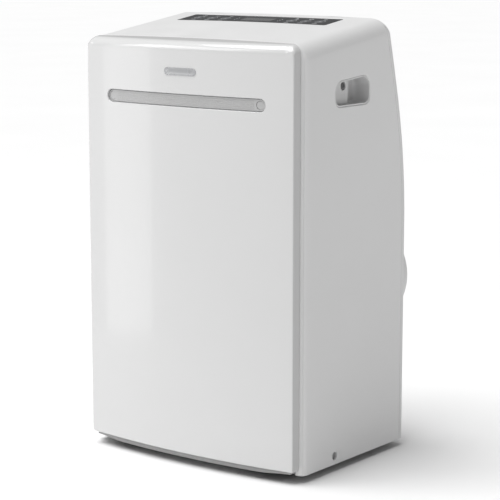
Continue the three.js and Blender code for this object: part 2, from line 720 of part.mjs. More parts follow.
// Solid roller with a bore for the axle pin.
function castorWheel(x, y) {
  const wheelY = y + TRAIL;
  const tyre = bar("x", WHEEL_RADIUS, x - WHEEL_HALF, x + WHEEL_HALF, wheelY, WHEEL_RADIUS, 32);
  const bore = bar("x", AXLE_RADIUS + PIN_PLAY, x - HALF, x + HALF, wheelY, WHEEL_RADIUS, 12);
  return cut(tyre, bore);
}

// ---------------------------------------------------------------- rear fittings

// Slatted door following the lean of the back.
function intakeGrille() {
  const { half, low, high, slots, pitch } = INTAKE;
  const outline = block(GAP - half, half - GAP, 0, DEPTH, low + INTAKE_GAP.low, high - INTAKE_GAP.high);
  const skin = cut(common(sideSolid(0), outline), sideSolid(WALL));
  const reach = half - INTAKE_MARGIN.side;
  const openings = Array.from({ length: slots }, (_, i) => {
    const from = low + INTAKE_MARGIN.low + i * pitch;
    return block(-reach, reach, 0, DEPTH, from, from + pitch * SLAT_OPENING);
  });
  return cut(skin, ...openings);
}

// Filter frame parallel to the leaning grille, open in six panes crossed by thin ribs.
function airFilter() {
  const { thickness, columns, rows, border, ribHalf } = FILTER;
  const low = INTAKE.low + 8;
  const high = INTAKE.high - 14;
  const half = INTAKE.half - 4;
  const length = Math.hypot(rearY(low) - rearY(high), high - low);
  const outline = block(-half, half, -thickness, 0, 0, length);
  const paneWidth = (2 * half - border) / columns;
  const reach = (paneWidth - border) / 2;
  const panes = Array.from({ length: columns * rows }, (_, i) => {
    const x = ((i % columns) - 1) * paneWidth;
    const z = border + (Math.floor(i / columns) * (length - border)) / rows;
    return block(x - reach, x + reach, -HALF, HALF, z, z + length / rows - 12);
  });
  const ribs = Array.from({ length: FILTER.ribs }, (_, i) => {
    const z = ((i + 0.5) * length) / FILTER.ribs;
    return block(2 - half, half - 2, 0.8 - thickness, 2 - thickness, z - ribHalf, z + ribHalf);
  });
  const lean = Math.atan2(rearY(low) - rearY(high), high - low);
  const placed = join(cut(outline, ...panes), ...ribs);
  return placed.rotateX(lean).translate(0, rearY(low) - WALL - FILTER.sunk, low);
}

function condenserGrille() {
  const { left, right, low, high, slots, margin } = CONDENSER_WINDOW;
  const plate = block(left + GAP, right - GAP, BACK_Y - WALL, BACK_Y, low + GAP, high - GAP);
  const pitch = (high - low - 16) / slots;
  const openings = Array.from({ length: slots }, (_, i) => {
    const from = low + margin + i * pitch;
    return block(left + margin, right - margin, 0, DEPTH, from, from + pitch * SLAT_OPENING);
  });
  return cut(plate, ...openings);
}

// A turned ring about a line along Y; the profile is a list of [radius, y].
function ring(axisX, axisZ, profile, sides = 36) {
  const points = profile.map(([radius, y]) => new THREE.Vector2(radius, y));
  points.push(points[0].clone());
  return new THREE.LatheGeometry(points, sides).translate(axisX, 0, axisZ);
}

function exhaustFlange() {
  const e = EXHAUST;
  const spigot = e.flange - e.step - GAP;
  return ring(e.x, e.z, [
    [e.bore, BACK_Y - WALL],
    [spigot, BACK_Y - WALL],
    [spigot, BACK_Y + GAP],
    [e.flange, BACK_Y + GAP],
    [e.flange, FLANGE_END_Y - 6],
    [e.flange - 2, FLANGE_END_Y - 2],
    [e.flange - 6, FLANGE_END_Y],
    [e.bore, FLANGE_END_Y],
  ], 30);
}

// Hose collar turning inside the flange, with a grip ring outside it.
function hoseCollar() {
  const e = EXHAUST;
  const inner = e.collar - COLLAR_WALL;
  const grip = e.collar + GRIP_REACH;
  return ring(e.x, e.z, [
    [inner, BACK_Y + WALL],
    [e.collar, BACK_Y + WALL],
    [e.collar, FLANGE_END_Y + 2],
    [grip, FLANGE_END_Y + 3],
    [grip, FLANGE_END_Y + 9],
    [e.collar, FLANGE_END_Y + 10],
    [e.collar, COLLAR_END_Y],
    [inner, COLLAR_END_Y],
  ], 26);
}

function cordGland() {
  const g = GLAND;
  return ring(g.x, g.z, [
    [g.bore, BACK_Y - 9],
    [g.radius, BACK_Y - 9],
    [g.radius, BACK_Y + GAP],
    [g.radius + 3, BACK_Y + GAP],
    [g.radius + 2, BACK_Y + 5],
    [g.bore + 2.5, BACK_Y + 12],
    [g.bore, BACK_Y + 12],
  ], 16);
}

function drainCap() {
  const d = DRAIN;
  const cap = bar("y", d.radius - 1, BACK_Y - 0.5, BACK_Y + 11, d.x, d.z, 20);
  const ribs = Array.from({ length: 8 }, (_, i) => {
    const rib = block(-0.8, 0.8, BACK_Y + 2, BACK_Y + 10, d.radius - 2, d.radius);
    return rib.rotateY((i * Math.PI) / 4).translate(d.x, 0, d.z);
  });
  const pocket = bar("y", d.nozzle + GAP, 0, BACK_Y + 7, d.x, d.z, 16);
  return cut(join(cap, ...ribs), pocket);
}

// ---------------------------------------------------------------- refrigeration circuit

function compressor() {
  const c = COMPRESSOR;
  const profile = [
    [0, TRAY_FLOOR + GAP],
    [c.radius + c.foot, TRAY_FLOOR + GAP],
    [c.radius + c.foot, TRAY_FLOOR + 5],
    [c.radius - 4, TRAY_FLOOR + 8],
    [c.radius, TRAY_FLOOR + 18],
    [c.radius, c.top - 26],
    [c.radius * 0.86, c.top - 10],
    [c.radius * 0.5, c.top - 2],
    [0, c.top],
  ];
  const points = profile.map(([radius, z]) => new THREE.Vector2(radius, z));
  const shell = new THREE.LatheGeometry(points, 20).rotateX(Math.PI / 2).translate(c.x, c.y, 0);
  const stub = bar("z", STUB.radius, c.top - STUB.low, c.top + STUB.high, c.x, c.y - STUB.setback, 12);
  return join(shell, stub);
}

function accumulator() {
  const a = ACCUMULATOR;
  const profile = [
    [0, a.low],
    [a.radius * 0.6, a.low + 3],
    [a.radius, a.low + 14],
    [a.radius, a.top - 14],
    [a.radius * 0.6, a.top - 3],
    [0, a.top],
  ];
  const points = profile.map(([radius, z]) => new THREE.Vector2(radius, z));
  return new THREE.LatheGeometry(points, 16).rotateX(Math.PI / 2).translate(a.x, a.y, 0);
}

// Finned heat exchanger: a block grooved into upright fins between two end plates.
function coil({ left, right, front, back, low, high, fins }) {
  const pitch = (right - left - 2 * COIL_PLATE) / fins;
  const depth = (back - front) * COIL_GROOVE;
  const grooves = Array.from({ length: fins - 1 }, (_, i) => {
    const x = left + COIL_PLATE + (i + 1) * pitch;
    const half = pitch * COIL_GROOVE;
    return block(x - half, x + half, front - 1, front + depth, low + COIL_PLATE, high - COIL_PLATE);
  });
  return cut(block(left, right, front, back, low, high), ...grooves);
}

function midTray() {
  const half = HALF - WALL - MID_TRAY.side;
  const front = SEAM_Y + MID_TRAY.front;
  const back = BACK_Y - WALL - MID_TRAY.back;
  const wall = MID_TRAY.wall;
  const tray = block(-half, half, front, back, MID_TRAY_Z, MID_TRAY_Z + MID_TRAY.rim);
  const inside = block(wall - half, half - wall, front + wall, back - wall, MID_TRAY_Z + 3, FAR);
  return cut(tray, inside);
}

// The two solids of a fan housing, the inner one smaller than the outer by skin.
function scrollDrum(f, skin) {
  return bar("y", f.scroll - skin, f.motorY + GAP + skin, f.backY - skin, f.x, f.z, 28);
}

function scrollHoles(f, inletZ, overrun) {
  const frontY = f.motorY + GAP;
  return [
    bar("y", f.eye, f.backY - overrun, f.backY + overrun, f.x, inletZ, 24),
    bar("y", SHAFT_HOLE, frontY - 10, frontY + 10, f.x, f.z, 12),
  ];
}

// Upper fan housing: a drum, a riser and a wide plenum behind the outlet duct.
function evaporatorScroll() {
  const f = EVAPORATOR_FAN;
  const skin = SCROLL_SKIN;
  const frontY = f.motorY + GAP;
  const plenumFront = DUCT_BACK_Y + GAP;
  const rise = DUCT_HALF_HEIGHT + WALL;
  const side = DUCT_HALF + WALL;
  const [left, right] = [f.x + DUCT_LEFT, f.x + f.scroll];
  const outer = join(
    scrollDrum(f, 0),
    block(left, right, frontY, f.backY, f.z, SLOT_Z - 10),
    block(-side, side, plenumFront, f.backY, SLOT_Z - rise, SLOT_Z + rise),
  );
  const [low, high] = [SLOT_Z - rise + skin, SLOT_Z + rise - skin];
  const inner = join(
    scrollDrum(f, skin),
    block(left + skin, right - skin, frontY + skin, f.backY - skin, f.z, SLOT_Z),
    block(-DUCT_HALF, DUCT_HALF, -DEPTH, f.backY - skin, low, high),
  );
  return cut(outer, inner, ...scrollHoles(f, f.z, 10));
}

// Lower fan housing: a drum, a riser at the right and a box behind the exhaust outlet.
function condenserScroll() {
  const f = CONDENSER_FAN;
  const e = EXHAUST;
  const skin = SCROLL_SKIN;
  const frontY = f.motorY + GAP;
  const backY = BACK_Y - WALL - GAP;
  const reach = e.bore + 5;
  const left = e.x - reach - 8;
  const right = HALF - WALL - 8;
  const outer = join(
    scrollDrum(f, 0),
    block(right - RISER_WIDTH, right, frontY, f.backY, f.z, e.z),
    block(left, right, frontY, backY, e.z - reach, e.z + reach),
  );
  const [low, high] = [e.z - reach + skin, e.z + reach - skin];
  const inner = join(
    scrollDrum(f, skin),
    block(right - RISER_WIDTH + skin, right - skin, frontY + skin, f.backY - skin, f.z, e.z),
    block(left + skin, right - skin, frontY + skin, backY - skin, low, high),
  );
  const outlet = bar("y", e.bore, backY - 10, backY + 10, e.x, e.z, 32);
  return cut(outer, inner, outlet, ...scrollHoles(f, f.z - INLET_DROP, 8));
}

// Drum fan wheel: drive disc, rim and upright blades, on a hub bored for the motor shaft.
function fanWheel(f) {
  const y0 = f.motorY + 8;
  const y1 = f.wheelEndY;
  const inner = f.wheel - WHEEL_RING;
  const disc = bar("y", f.wheel, y0, y0 + 3, 0, 0, 28);
  const hub = bar("y", WHEEL_HUB.radius, y0, y0 + WHEEL_HUB.length, 0, 0, 16);
  const rim = ring(0, 0, [[inner, y1 - 3], [f.wheel, y1 - 3], [f.wheel, y1], [inner, y1]], 28);
  const blades = Array.from({ length: f.blades }, (_, i) => {
    const blade = block(-0.8, 0.8, y0 + 2, y1 - 2, inner - f.wheel / 2 + 1, f.wheel / 2 - 1);
    const pitched = blade.rotateY(BLADE_PITCH).translate(0, 0, f.wheel / 2);
    return pitched.rotateY((i * 2 * Math.PI) / f.blades);
  });
  const bore = bar("y", SHAFT_RADIUS + PIN_PLAY, y0 - 1, y0 + WHEEL_HUB.bored, 0, 0, 16);
  return cut(join(disc, hub, rim, ...blades), bore).translate(f.x, 0, f.z);
}

// Motor can with a boss at its back and a blind bore for the shaft.
function fanMotor(f) {
  const canEnd = f.motorY - MOTOR_LENGTH;
  const can = bar("y", f.motor, canEnd, f.motorY, f.x, f.z, 24);
  const boss = bar("y", MOTOR_BOSS.radius, canEnd - MOTOR_BOSS.length, canEnd + 1, f.x, f.z, 12);
  const bore = bar("y", SHAFT_RADIUS + PIN_PLAY, canEnd - 3, f.motorY + 1, f.x, f.z, 16);
  return cut(join(can, boss), bore);
}

function fanShaft(f) {
  return bar("y", SHAFT_RADIUS, f.motorY - MOTOR_LENGTH - 2, f.motorY + 38, f.x, f.z, 16);
}

function electronicsBox() {
  const e = ELECTRONICS;
  const box = block(e.left, e.right, e.front, e.back, e.low, e.high);
  const ribs = [0.25, 0.5, 0.75].map((t) => {
    const z = e.low + (e.high - e.low) * t;
    return block(e.left + 8, e.right - 8, e.front - 3, e.front + 1, z - 1.5, z + 1.5);
  });
  return join(box, ...ribs);
}

// Round can with two spade tabs, standing on the electronics box.
function capacitor() {
  const e = ELECTRONICS;
  const c = CAPACITOR;
  const x = e.left + c.inset;
  const y = e.back - c.forward;
  const top = e.high + c.height;
  const body = bar("z", c.radius, e.high + GAP, top, x, y, 20);
  const tabs = [-c.tabs, c.tabs].map((dx) => {
    return block(x + dx - 3, x + dx + 3, y - 0.5, y + 0.5, top - 2, top + c.tabHeight);
  });
  return join(body, ...tabs);
}

// ---------------------------------------------------------------- assembly

add("cabinet_shell", cabinetShell(), plastic(WHITE));
add("front_panel", frontPanel(), plastic(WHITE, 0.12));
add("rear_cover", rearCover(), plastic(WHITE, 0.45));
add("base_tray", baseTray(), plastic(DARK, 0.6));
add("mid_tray", midTray(), plastic(DARK, 0.6));
add("blank_badge", badge(), plastic(GREY, 0.3));
add("outlet_duct", outletDuct(), plastic(DARK, 0.5));
add("outlet_louvre", louvre(), plastic(GREY, 0.35));
vaneXs().forEach((x, i) => add(`guide_vane_${i + 1}`, vane(x), plastic(DARK, 0.5)));
add("vane_link", vaneLink(), plastic(DARK, 0.5));

add("control_panel", controlPanel(), plastic(DARK, 0.3), control);
add("display_window", displayWindow(), plastic(BLACK, 0.1), control);
BUTTON_XS.forEach((x, i) => add(`button_${i + 1}`, button(x), plastic(DARK, 0.4), control));

for (const [name, side] of [["left", -1], ["right", 1]]) {
  add(`${name}_handle_cup`, handleCup(side), plastic(GREY, 0.5));
  add(`${name}_handle_screw`, screw(side, HANDLE_SCREW), metal(STEEL));
  add(`${name}_side_screw`, screw(side, SIDE_SCREW), metal(STEEL));
}

for (const [name, x, y] of CASTOR_PLACES) {
  add(`${name}_castor_fork`, castorFork(x, y), plastic(BLACK, 0.5));
  add(`${name}_castor_wheel`, castorWheel(x, y), plastic(BLACK, 0.7));
}

add("intake_grille", intakeGrille(), plastic(WHITE, 0.45));
add("air_filter", airFilter(), plastic(GREY, 0.8));
add("condenser_grille", condenserGrille(), plastic(WHITE, 0.45));
add("exhaust_flange", exhaustFlange(), plastic(WHITE, 0.4));
add("hose_collar", hoseCollar(), plastic(GREY, 0.45));
add("cord_gland", cordGland(), plastic(BLACK, 0.6));
add("drain_cap", drainCap(), plastic(BLACK, 0.6));

add("compressor", compressor(), metal(BLACK, 0.5));
add("accumulator", accumulator(), metal(BLACK, 0.5));
add("condenser_coil", coil(CONDENSER_COIL), metal(FINS));
add("evaporator_coil", coil(EVAPORATOR_COIL), metal(FINS));
add("evaporator_scroll", evaporatorScroll(), plastic(WHITE, 0.6));
add("evaporator_fan_wheel", fanWheel(EVAPORATOR_FAN), plastic(BLACK, 0.5));
add("evaporator_fan_shaft", fanShaft(EVAPORATOR_FAN), metal(STEEL));
add("evaporator_fan_motor", fanMotor(EVAPORATOR_FAN), metal(STEEL));
add("condenser_scroll", condenserScroll(), plastic(WHITE, 0.6));
add("condenser_fan_wheel", fanWheel(CONDENSER_FAN), plastic(BLACK, 0.5));
add("condenser_fan_shaft", fanShaft(CONDENSER_FAN), metal(STEEL));
add("condenser_fan_motor", fanMotor(CONDENSER_FAN), metal(STEEL));
add("electronics_box", electronicsBox(), plastic(DARK, 0.5));
add("capacitor", capacitor(), metal(STEEL, 0.3));
add("suction_pipe", tube(SUCTION_ROUTE, SUCTION_RADIUS), metal(COPPER));
add("discharge_pipe", tube(DISCHARGE_ROUTE, DISCHARGE_RADIUS), metal(COPPER));

export default group;
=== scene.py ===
"""Portable air conditioner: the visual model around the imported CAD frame. Shapes are written in millimetres."""

import json
import math

import bmesh
import bpy
import numpy as np
from mathutils import Matrix, Vector
from mathutils.geometry import delaunay_2d_cdt


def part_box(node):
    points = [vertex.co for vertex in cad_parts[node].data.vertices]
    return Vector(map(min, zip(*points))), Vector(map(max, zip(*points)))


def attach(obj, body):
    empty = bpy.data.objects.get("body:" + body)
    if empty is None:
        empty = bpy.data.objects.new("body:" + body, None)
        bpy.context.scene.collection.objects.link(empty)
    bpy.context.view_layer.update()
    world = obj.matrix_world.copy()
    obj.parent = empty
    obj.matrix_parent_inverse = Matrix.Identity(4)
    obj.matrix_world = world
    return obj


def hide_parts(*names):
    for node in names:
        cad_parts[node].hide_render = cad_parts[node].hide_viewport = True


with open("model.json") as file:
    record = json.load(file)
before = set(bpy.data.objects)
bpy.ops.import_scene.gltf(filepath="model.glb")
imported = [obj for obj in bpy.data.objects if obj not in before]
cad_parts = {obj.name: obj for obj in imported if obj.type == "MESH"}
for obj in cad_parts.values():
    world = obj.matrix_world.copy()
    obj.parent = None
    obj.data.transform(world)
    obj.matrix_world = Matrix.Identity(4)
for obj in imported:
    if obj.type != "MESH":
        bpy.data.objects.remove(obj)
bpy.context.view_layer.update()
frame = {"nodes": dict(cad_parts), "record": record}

MM = 0.001
NODE_BODY = {node: body for body, nodes in frame["record"]["behaviour"]["bodies"].items() for node in nodes}


def box_mm(node):
    low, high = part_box(node)
    return low / MM, high / MM


# ---------------------------------------------------------------- dimensions, from the frame

shell_low, shell_high = box_mm("cabinet_shell")
panel_low, panel_high = box_mm("front_panel")
cover_low, cover_high = box_mm("rear_cover")

HALF = shell_high.x
BOTTOM = shell_low.z
SEAM_Y = shell_low.y
PANEL_HALF = panel_high.x
PANEL_BOTTOM = panel_low.z
PANEL_BACK = panel_high.y
FRONT_Y = panel_low.y
BACK_Y = cover_high.y
WALL = 3.0
GAP = 0.4

TOP_SLOPE = 0.14
TOP_Z = 754.9
TOP_CROWN = 2.1
TOP_TILT = math.atan(TOP_SLOPE)
SHOULDER = 30.0
PANEL_BOW = 17.0
BOW_RADIUS = (PANEL_HALF**2 + PANEL_BOW**2) / (2 * PANEL_BOW)

REAR_STRAIGHT_Z = 400.0
REAR_CURVE_RADIUS = 1000.0
REAR_CURVE_TOP_Z = 640.0
REAR_LEAN = math.asin((REAR_CURVE_TOP_Z - REAR_STRAIGHT_Z) / REAR_CURVE_RADIUS)
REAR_CORNER = 20.0
COVER_DEPTH = 14.0


def top_z(y):
    return TOP_Z + TOP_SLOPE * y


def bow_y(x):
    return FRONT_Y + x**2 / (2 * BOW_RADIUS)


def rear_y(z):
    if z <= REAR_STRAIGHT_Z:
        return BACK_Y
    angle = min(math.asin((z - REAR_STRAIGHT_Z) / REAR_CURVE_RADIUS) if z < REAR_CURVE_TOP_Z else REAR_LEAN, REAR_LEAN)
    above = max(0.0, z - REAR_CURVE_TOP_Z)
    return BACK_Y - REAR_CURVE_RADIUS * (1 - math.cos(angle)) - above * math.tan(REAR_LEAN)


# ---------------------------------------------------------------- outlines


def outline(corners, radii, steps=8):
    """A convex outline with rounded corners, as a function of how far it is grown."""
    points = [Vector(c) for c in corners]
    if not isinstance(radii, (list, tuple)):
        radii = [radii] * len(points)

    def grown(grow=0.0):
        result = []
        for i, corner in enumerate(points):
            before = (corner - points[i - 1]).normalized()
            after = (points[(i + 1) % len(points)] - corner).normalized()
            n1, n2 = Vector((before.y, -before.x)), Vector((after.y, -after.x))
            spread = (n1 + n2) / (1 + n1.dot(n2))
            radius = max(radii[i] + grow, 0.05)
            centre = corner + spread * grow - spread * radius
            turn = math.atan2(n1.x * n2.y - n1.y * n2.x, n1.dot(n2))
            start = math.atan2(n1.y, n1.x)
            for k in range(steps + 1):
                a = start + turn * k / steps
                result.append((centre.x + radius * math.cos(a), centre.y + radius * math.sin(a)))
        return result

    return grown


def rectangle(x0, x1, z0, z1, radius, steps=8):
    return outline([(x0, z0), (x1, z0), (x1, z1), (x0, z1)], radius, steps)


def circle(x, z, radius, steps=48):
    def grown(grow=0.0):
        r = radius + grow
        return [
            (x + r * math.cos(2 * math.pi * k / steps), z + r * math.sin(2 * math.pi * k / steps))
            for k in range(steps)
        ]

    return grown


def spaced(loop, spacing):
    """The loop with points added so that no side is longer than spacing."""
    result = []
    for i, a in enumerate(loop):
        b = loop[(i + 1) % len(loop)]
        parts = max(1, math.ceil(math.dist(a, b) / spacing))
        result += [tuple(a[c] + (b[c] - a[c]) * k / parts for c in range(len(a))) for k in range(parts)]
    return result


def spaced_like(guide, loop, spacing):
    """The loop with points added where spaced() adds them to the guide."""
    result = []
    for i, a in enumerate(guide):
        b = guide[(i + 1) % len(guide)]
        parts = max(1, math.ceil(math.dist(a, b) / spacing))
        p, q = loop[i], loop[(i + 1) % len(loop)]
        result += [tuple(p[c] + (q[c] - p[c]) * k / parts for c in range(2)) for k in range(parts)]
    return result


def guided(shape, spacing=12.0):
    """The outline with its long sides divided, the same way for every amount it is grown."""
    return lambda grow=0.0: spaced_like(shape(0.0), shape(grow), spacing)


def inside(points, loop):
    """Which of the 2D points lie inside the loop."""
    x, y = points[:, 0], points[:, 1]
    result = np.zeros(len(points), bool)
    previous = loop[-1]
    for current in loop:
        (xa, ya), (xb, yb) = previous, current
        if ya != yb:
            crossing = (ya > y) != (yb > y)
            result ^= crossing & (x < (xb - xa) * (y - ya) / (yb - ya) + xa)
        previous = current
    return result


# ---------------------------------------------------------------- mesh builder


class Builder:
    """Collects patches of a surface in millimetres; the patches are joined where their points meet."""

    def __init__(self):
        self.bm = bmesh.new()
        self.tone = 0
        self.normal = self.bm.verts.layers.float_vector.new("wanted_normal")

    def verts(self, points, normals=None):
        made = []
        for i, p in enumerate(points):
            v = self.bm.verts.new(p)
            if normals is not None:
                v[self.normal] = normals[i]
            made.append(v)
        return made

    def face(self, corners):
        distinct = []
        for v in corners:
            if all((v.co - other.co).length > 1e-4 for other in distinct):
                distinct.append(v)
        if len(distinct) > 2:
            self.bm.faces.new(distinct).material_index = self.tone

    def bridge(self, rings, closed=True, normal=None):
        """Quads between neighbouring rings of points. normal gives the first ring's wanted normals."""
        made = [
            self.verts(ring, [normal(p) for p in ring] if normal and i == 0 else None) for i, ring in enumerate(rings)
        ]
        for a, b in zip(made, made[1:]):
            count = len(a)
            for i in range(count if closed else count - 1):
                j = (i + 1) % count
                self.face([a[i], a[j], b[j], b[i]])

    def fill(self, outer, holes, place, spacing=None, normal=None, exact=()):
        """A surface over the flat region between the outer loop and its holes. exact gives the outer loop's 3D places."""
        loops = [outer, *holes]
        flat, edges = [], []
        for loop in loops:
            base, count = len(flat), len(loop)
            flat += loop
            edges += [(base + i, base + (i + 1) % count) for i in range(count)]
        border = np.array([(p[0], p[1]) for p in flat])
        if spacing:
            sx, sy = spacing
            low, high = border.min(0), border.max(0)
            xs = np.linspace(low[0], high[0], max(2, round((high[0] - low[0]) / sx)) + 1)[1:-1]
            ys = np.linspace(low[1], high[1], max(2, round((high[1] - low[1]) / sy)) + 1)[1:-1]
            grid = np.array([(x, y) for y in ys for x in xs]).reshape(-1, 2)
            keep = inside(grid, outer)
            for hole in holes:
                keep &= ~inside(grid, hole)
            grid = grid[keep]
            if len(grid):
                gap = np.min(
                    [np.hypot((grid[:, 0] - p[0]) / sx, (grid[:, 1] - p[1]) / sy) for p in border], axis=0
                )
                flat = flat + [tuple(p) for p in grid[gap > 0.45]]
        co, _, faces, source, *_ = delaunay_2d_cdt([Vector(p) for p in flat], edges, [], 1, 1e-5)
        middles = np.array([sum((co[i] for i in f), Vector((0, 0))) / len(f) for f in faces])
        keep = inside(middles, outer)
        for hole in holes:
            keep &= ~inside(middles, hole)
        places = [exact[min(came)] if came and min(came) < len(exact) else place(p) for p, came in zip(co, source)]
        made = self.verts(places, [normal(p) for p in places] if normal else None)
        for f, wanted in zip(faces, keep):
            if wanted:
                self.face([made[i] for i in f])

    def plate(self, outer, holes, place, thick, edge=0.6, spacing=None, hole_edge=None, steps=3, back=True):
        """A plate with rounded front edges. place takes a flat point and a depth below the front face."""
        hole_edge = edge if hole_edge is None else hole_edge
        angles = [math.pi / 2 * k / steps for k in range(steps + 1)]

        def rings(shape, radius, sign):
            made = []
            for a in angles:
                grow = sign * radius * (1 - math.sin(a))
                made.append([place(p, radius * (1 - math.cos(a))) for p in shape(grow)])
            made.append([place(p, thick) for p in shape(0.0)])
            return made

        self.fill(outer(-edge), [h(hole_edge) for h in holes], lambda p: place(p, 0.0), spacing)
        self.bridge(rings(outer, edge, -1))
        for h in holes:
            self.bridge(rings(h, hole_edge, 1))
        if back:
            self.fill(outer(0.0), [h(0.0) for h in holes], lambda p: place(p, thick), spacing)

    def lathe(self, profile, centre, axis, steps=64, closed=True):
        """The profile, (radius, height) points, turned round the axis ("x", "y" or "z") at the centre."""
        rings = []
        for radius, height in profile:
            ring = []
            for k in range(steps):
                a = 2 * math.pi * k / steps
                u, v = radius * math.cos(a), radius * math.sin(a)
                ring.append(centre + Vector({"x": (height, u, v), "y": (u, height, v), "z": (u, v, height)}[axis]))
            rings.append(ring)
        if closed:
            rings.append(rings[0])
        self.bridge(rings)

    def bar(self, section, start, end, twist=None):
        """A closed flat section, a list of 3D points, carried from start to end, with both ends filled."""
        a = self.verts([start + p for p in section])
        b = self.verts([end + p for p in section])
        count = len(section)
        for i in range(count):
            j = (i + 1) % count
            self.face([a[i], a[j], b[j], b[i]])
        self.face(a)
        self.face(list(reversed(b)))

    def close(self):
        """Fills the flat openings that are left."""
        self.merge()
        border = [e for e in self.bm.edges if e.is_boundary]
        if border:
            bmesh.ops.holes_fill(self.bm, edges=border, sides=0)

    def merge(self, distance=2e-3):
        bmesh.ops.remove_doubles(self.bm, verts=self.bm.verts, dist=distance)


def rounded_bar_section(width, height, radius, axes, steps=3):
    """Points of a rounded rectangle, width along the first axis and height along the second."""
    u, v = axes
    return [u * x + v * z for x, z in rectangle(-width / 2, width / 2, -height / 2, height / 2, radius, steps)()]


def make(name, builder, material, body, replaced=(), sharp=35, second=None, turn=None):
    """Turns the builder's surface into a piece that rides on the body."""
    builder.merge()
    bm = builder.bm
    if turn:
        bm.transform(turn)
    bmesh.ops.dissolve_degenerate(bm, edges=bm.edges, dist=1e-4)
    bmesh.ops.recalc_face_normals(bm, faces=bm.faces)
    if bm.calc_volume(signed=True) < 0:
        bmesh.ops.reverse_faces(bm, faces=bm.faces)
    open_edges = sum(1 for e in bm.edges if not e.is_manifold)
    if open_edges:
        print("open or shared edges:", name, open_edges)
        for e in [e for e in bm.edges if not e.is_manifold][:12]:
            print("   ", [tuple(round(c, 2) for c in v.co) for v in e.verts], len(e.link_faces))
    wanted = np.array([v[builder.normal] for v in bm.verts])
    mesh = bpy.data.meshes.new(name)
    bm.transform(Matrix.Scale(MM, 4))
    bm.verts.layers.float_vector.remove(builder.normal)
    bm.to_mesh(mesh)
    bm.free()
    mesh.shade_smooth()
    mesh.set_sharp_from_angle(angle=math.radians(sharp))
    obj = bpy.data.objects.new(name, mesh)
    bpy.context.scene.collection.objects.link(obj)
    weighted = obj.modifiers.new("weighted_normals", "WEIGHTED_NORMAL")
    weighted.keep_sharp = True
    evaluated = obj.evaluated_get(bpy.context.evaluated_depsgraph_get())
    final = bpy.data.meshes.new_from_object(evaluated)
    obj.modifiers.clear()
    obj.data = final
    final.name = name
    bpy.data.meshes.remove(mesh)
    known = np.linalg.norm(wanted, axis=1) > 0.5
    if known.any():
        corners = np.zeros(len(final.loops) * 3, np.float32)
        final.corner_normals.foreach_get("vector", corners)
        corners = corners.reshape(-1, 3)
        owner = np.zeros(len(final.loops), np.int32)
        final.loops.foreach_get("vertex_index", owner)
        use = known[owner]
        corners[use] = wanted[owner][use]
        final.normals_split_custom_set(corners.tolist())
    final.materials.append(material)
    if second:
        final.materials.append(second)
    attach(obj, body)
    if replaced:
        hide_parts(*replaced)
    return obj


# ---------------------------------------------------------------- materials


class Nodes:
    """Short names for building a material's node tree."""

    def __init__(self, name):
        self.material = bpy.data.materials.new(name)
        self.material.use_nodes = True
        self.tree = self.material.node_tree
        self.shader = self.tree.nodes["Principled BSDF"]
        self.place = self.tree.nodes.new("ShaderNodeTexCoord").outputs["Object"]

    def new(self, kind, **settings):
        node = self.tree.nodes.new(kind)
        for key, value in settings.items():
            if hasattr(node, key):
                setattr(node, key, value)
            else:
                node.inputs[key.replace("_", " ").title()].default_value = value
        return node

    def link(self, a, b):
        self.tree.links.new(a, b)

    def stretched(self, scale):
        mapping = self.new("ShaderNodeMapping")
        mapping.inputs["Scale"].default_value = scale
        self.link(self.place, mapping.inputs["Vector"])
        return mapping.outputs["Vector"]

    def noise(self, scale, detail=3.0, stretch=None, roughness=0.5):
        node = self.new("ShaderNodeTexNoise")
        node.inputs["Scale"].default_value = scale
        node.inputs["Detail"].default_value = detail
        node.inputs["Roughness"].default_value = roughness
        self.link(self.stretched(stretch) if stretch else self.place, node.inputs["Vector"])
        return node.outputs["Fac"]

    def spread(self, value, low, high, start=0.3, end=0.7):
        node = self.new("ShaderNodeMapRange")
        node.inputs["From Min"].default_value = start
        node.inputs["From Max"].default_value = end
        node.inputs["To Min"].default_value = low
        node.inputs["To Max"].default_value = high
        self.link(value, node.inputs["Value"])
        return node.outputs["Result"]

    def mix(self, factor, a, b):
        node = self.new("ShaderNodeMix", data_type="RGBA")
        for socket, value in ((6, a), (7, b)):
            if isinstance(value, tuple):
                node.inputs[socket].default_value = (*value, 1.0)
            else:
                self.link(value, node.inputs[socket])
        self.link(factor, node.inputs[0])
        return node.outputs[2]

    def bump(self, height, strength, distance, under=None):
        node = self.new("ShaderNodeBump")
        node.inputs["Strength"].default_value = strength
        node.inputs["Distance"].default_value = distance
        self.link(height, node.inputs["Height"])
        if under is not None:
            self.link(under, node.inputs["Normal"])
        return node.outputs["Normal"]

    def edges(self, low=0.505, high=0.56):
        geometry = self.new("ShaderNodeNewGeometry")
        return self.spread(geometry.outputs["Pointiness"], 0.0, 1.0, low, high)


def shade(color, amount):
    return tuple(min(1.0, max(0.0, c * amount)) for c in color)


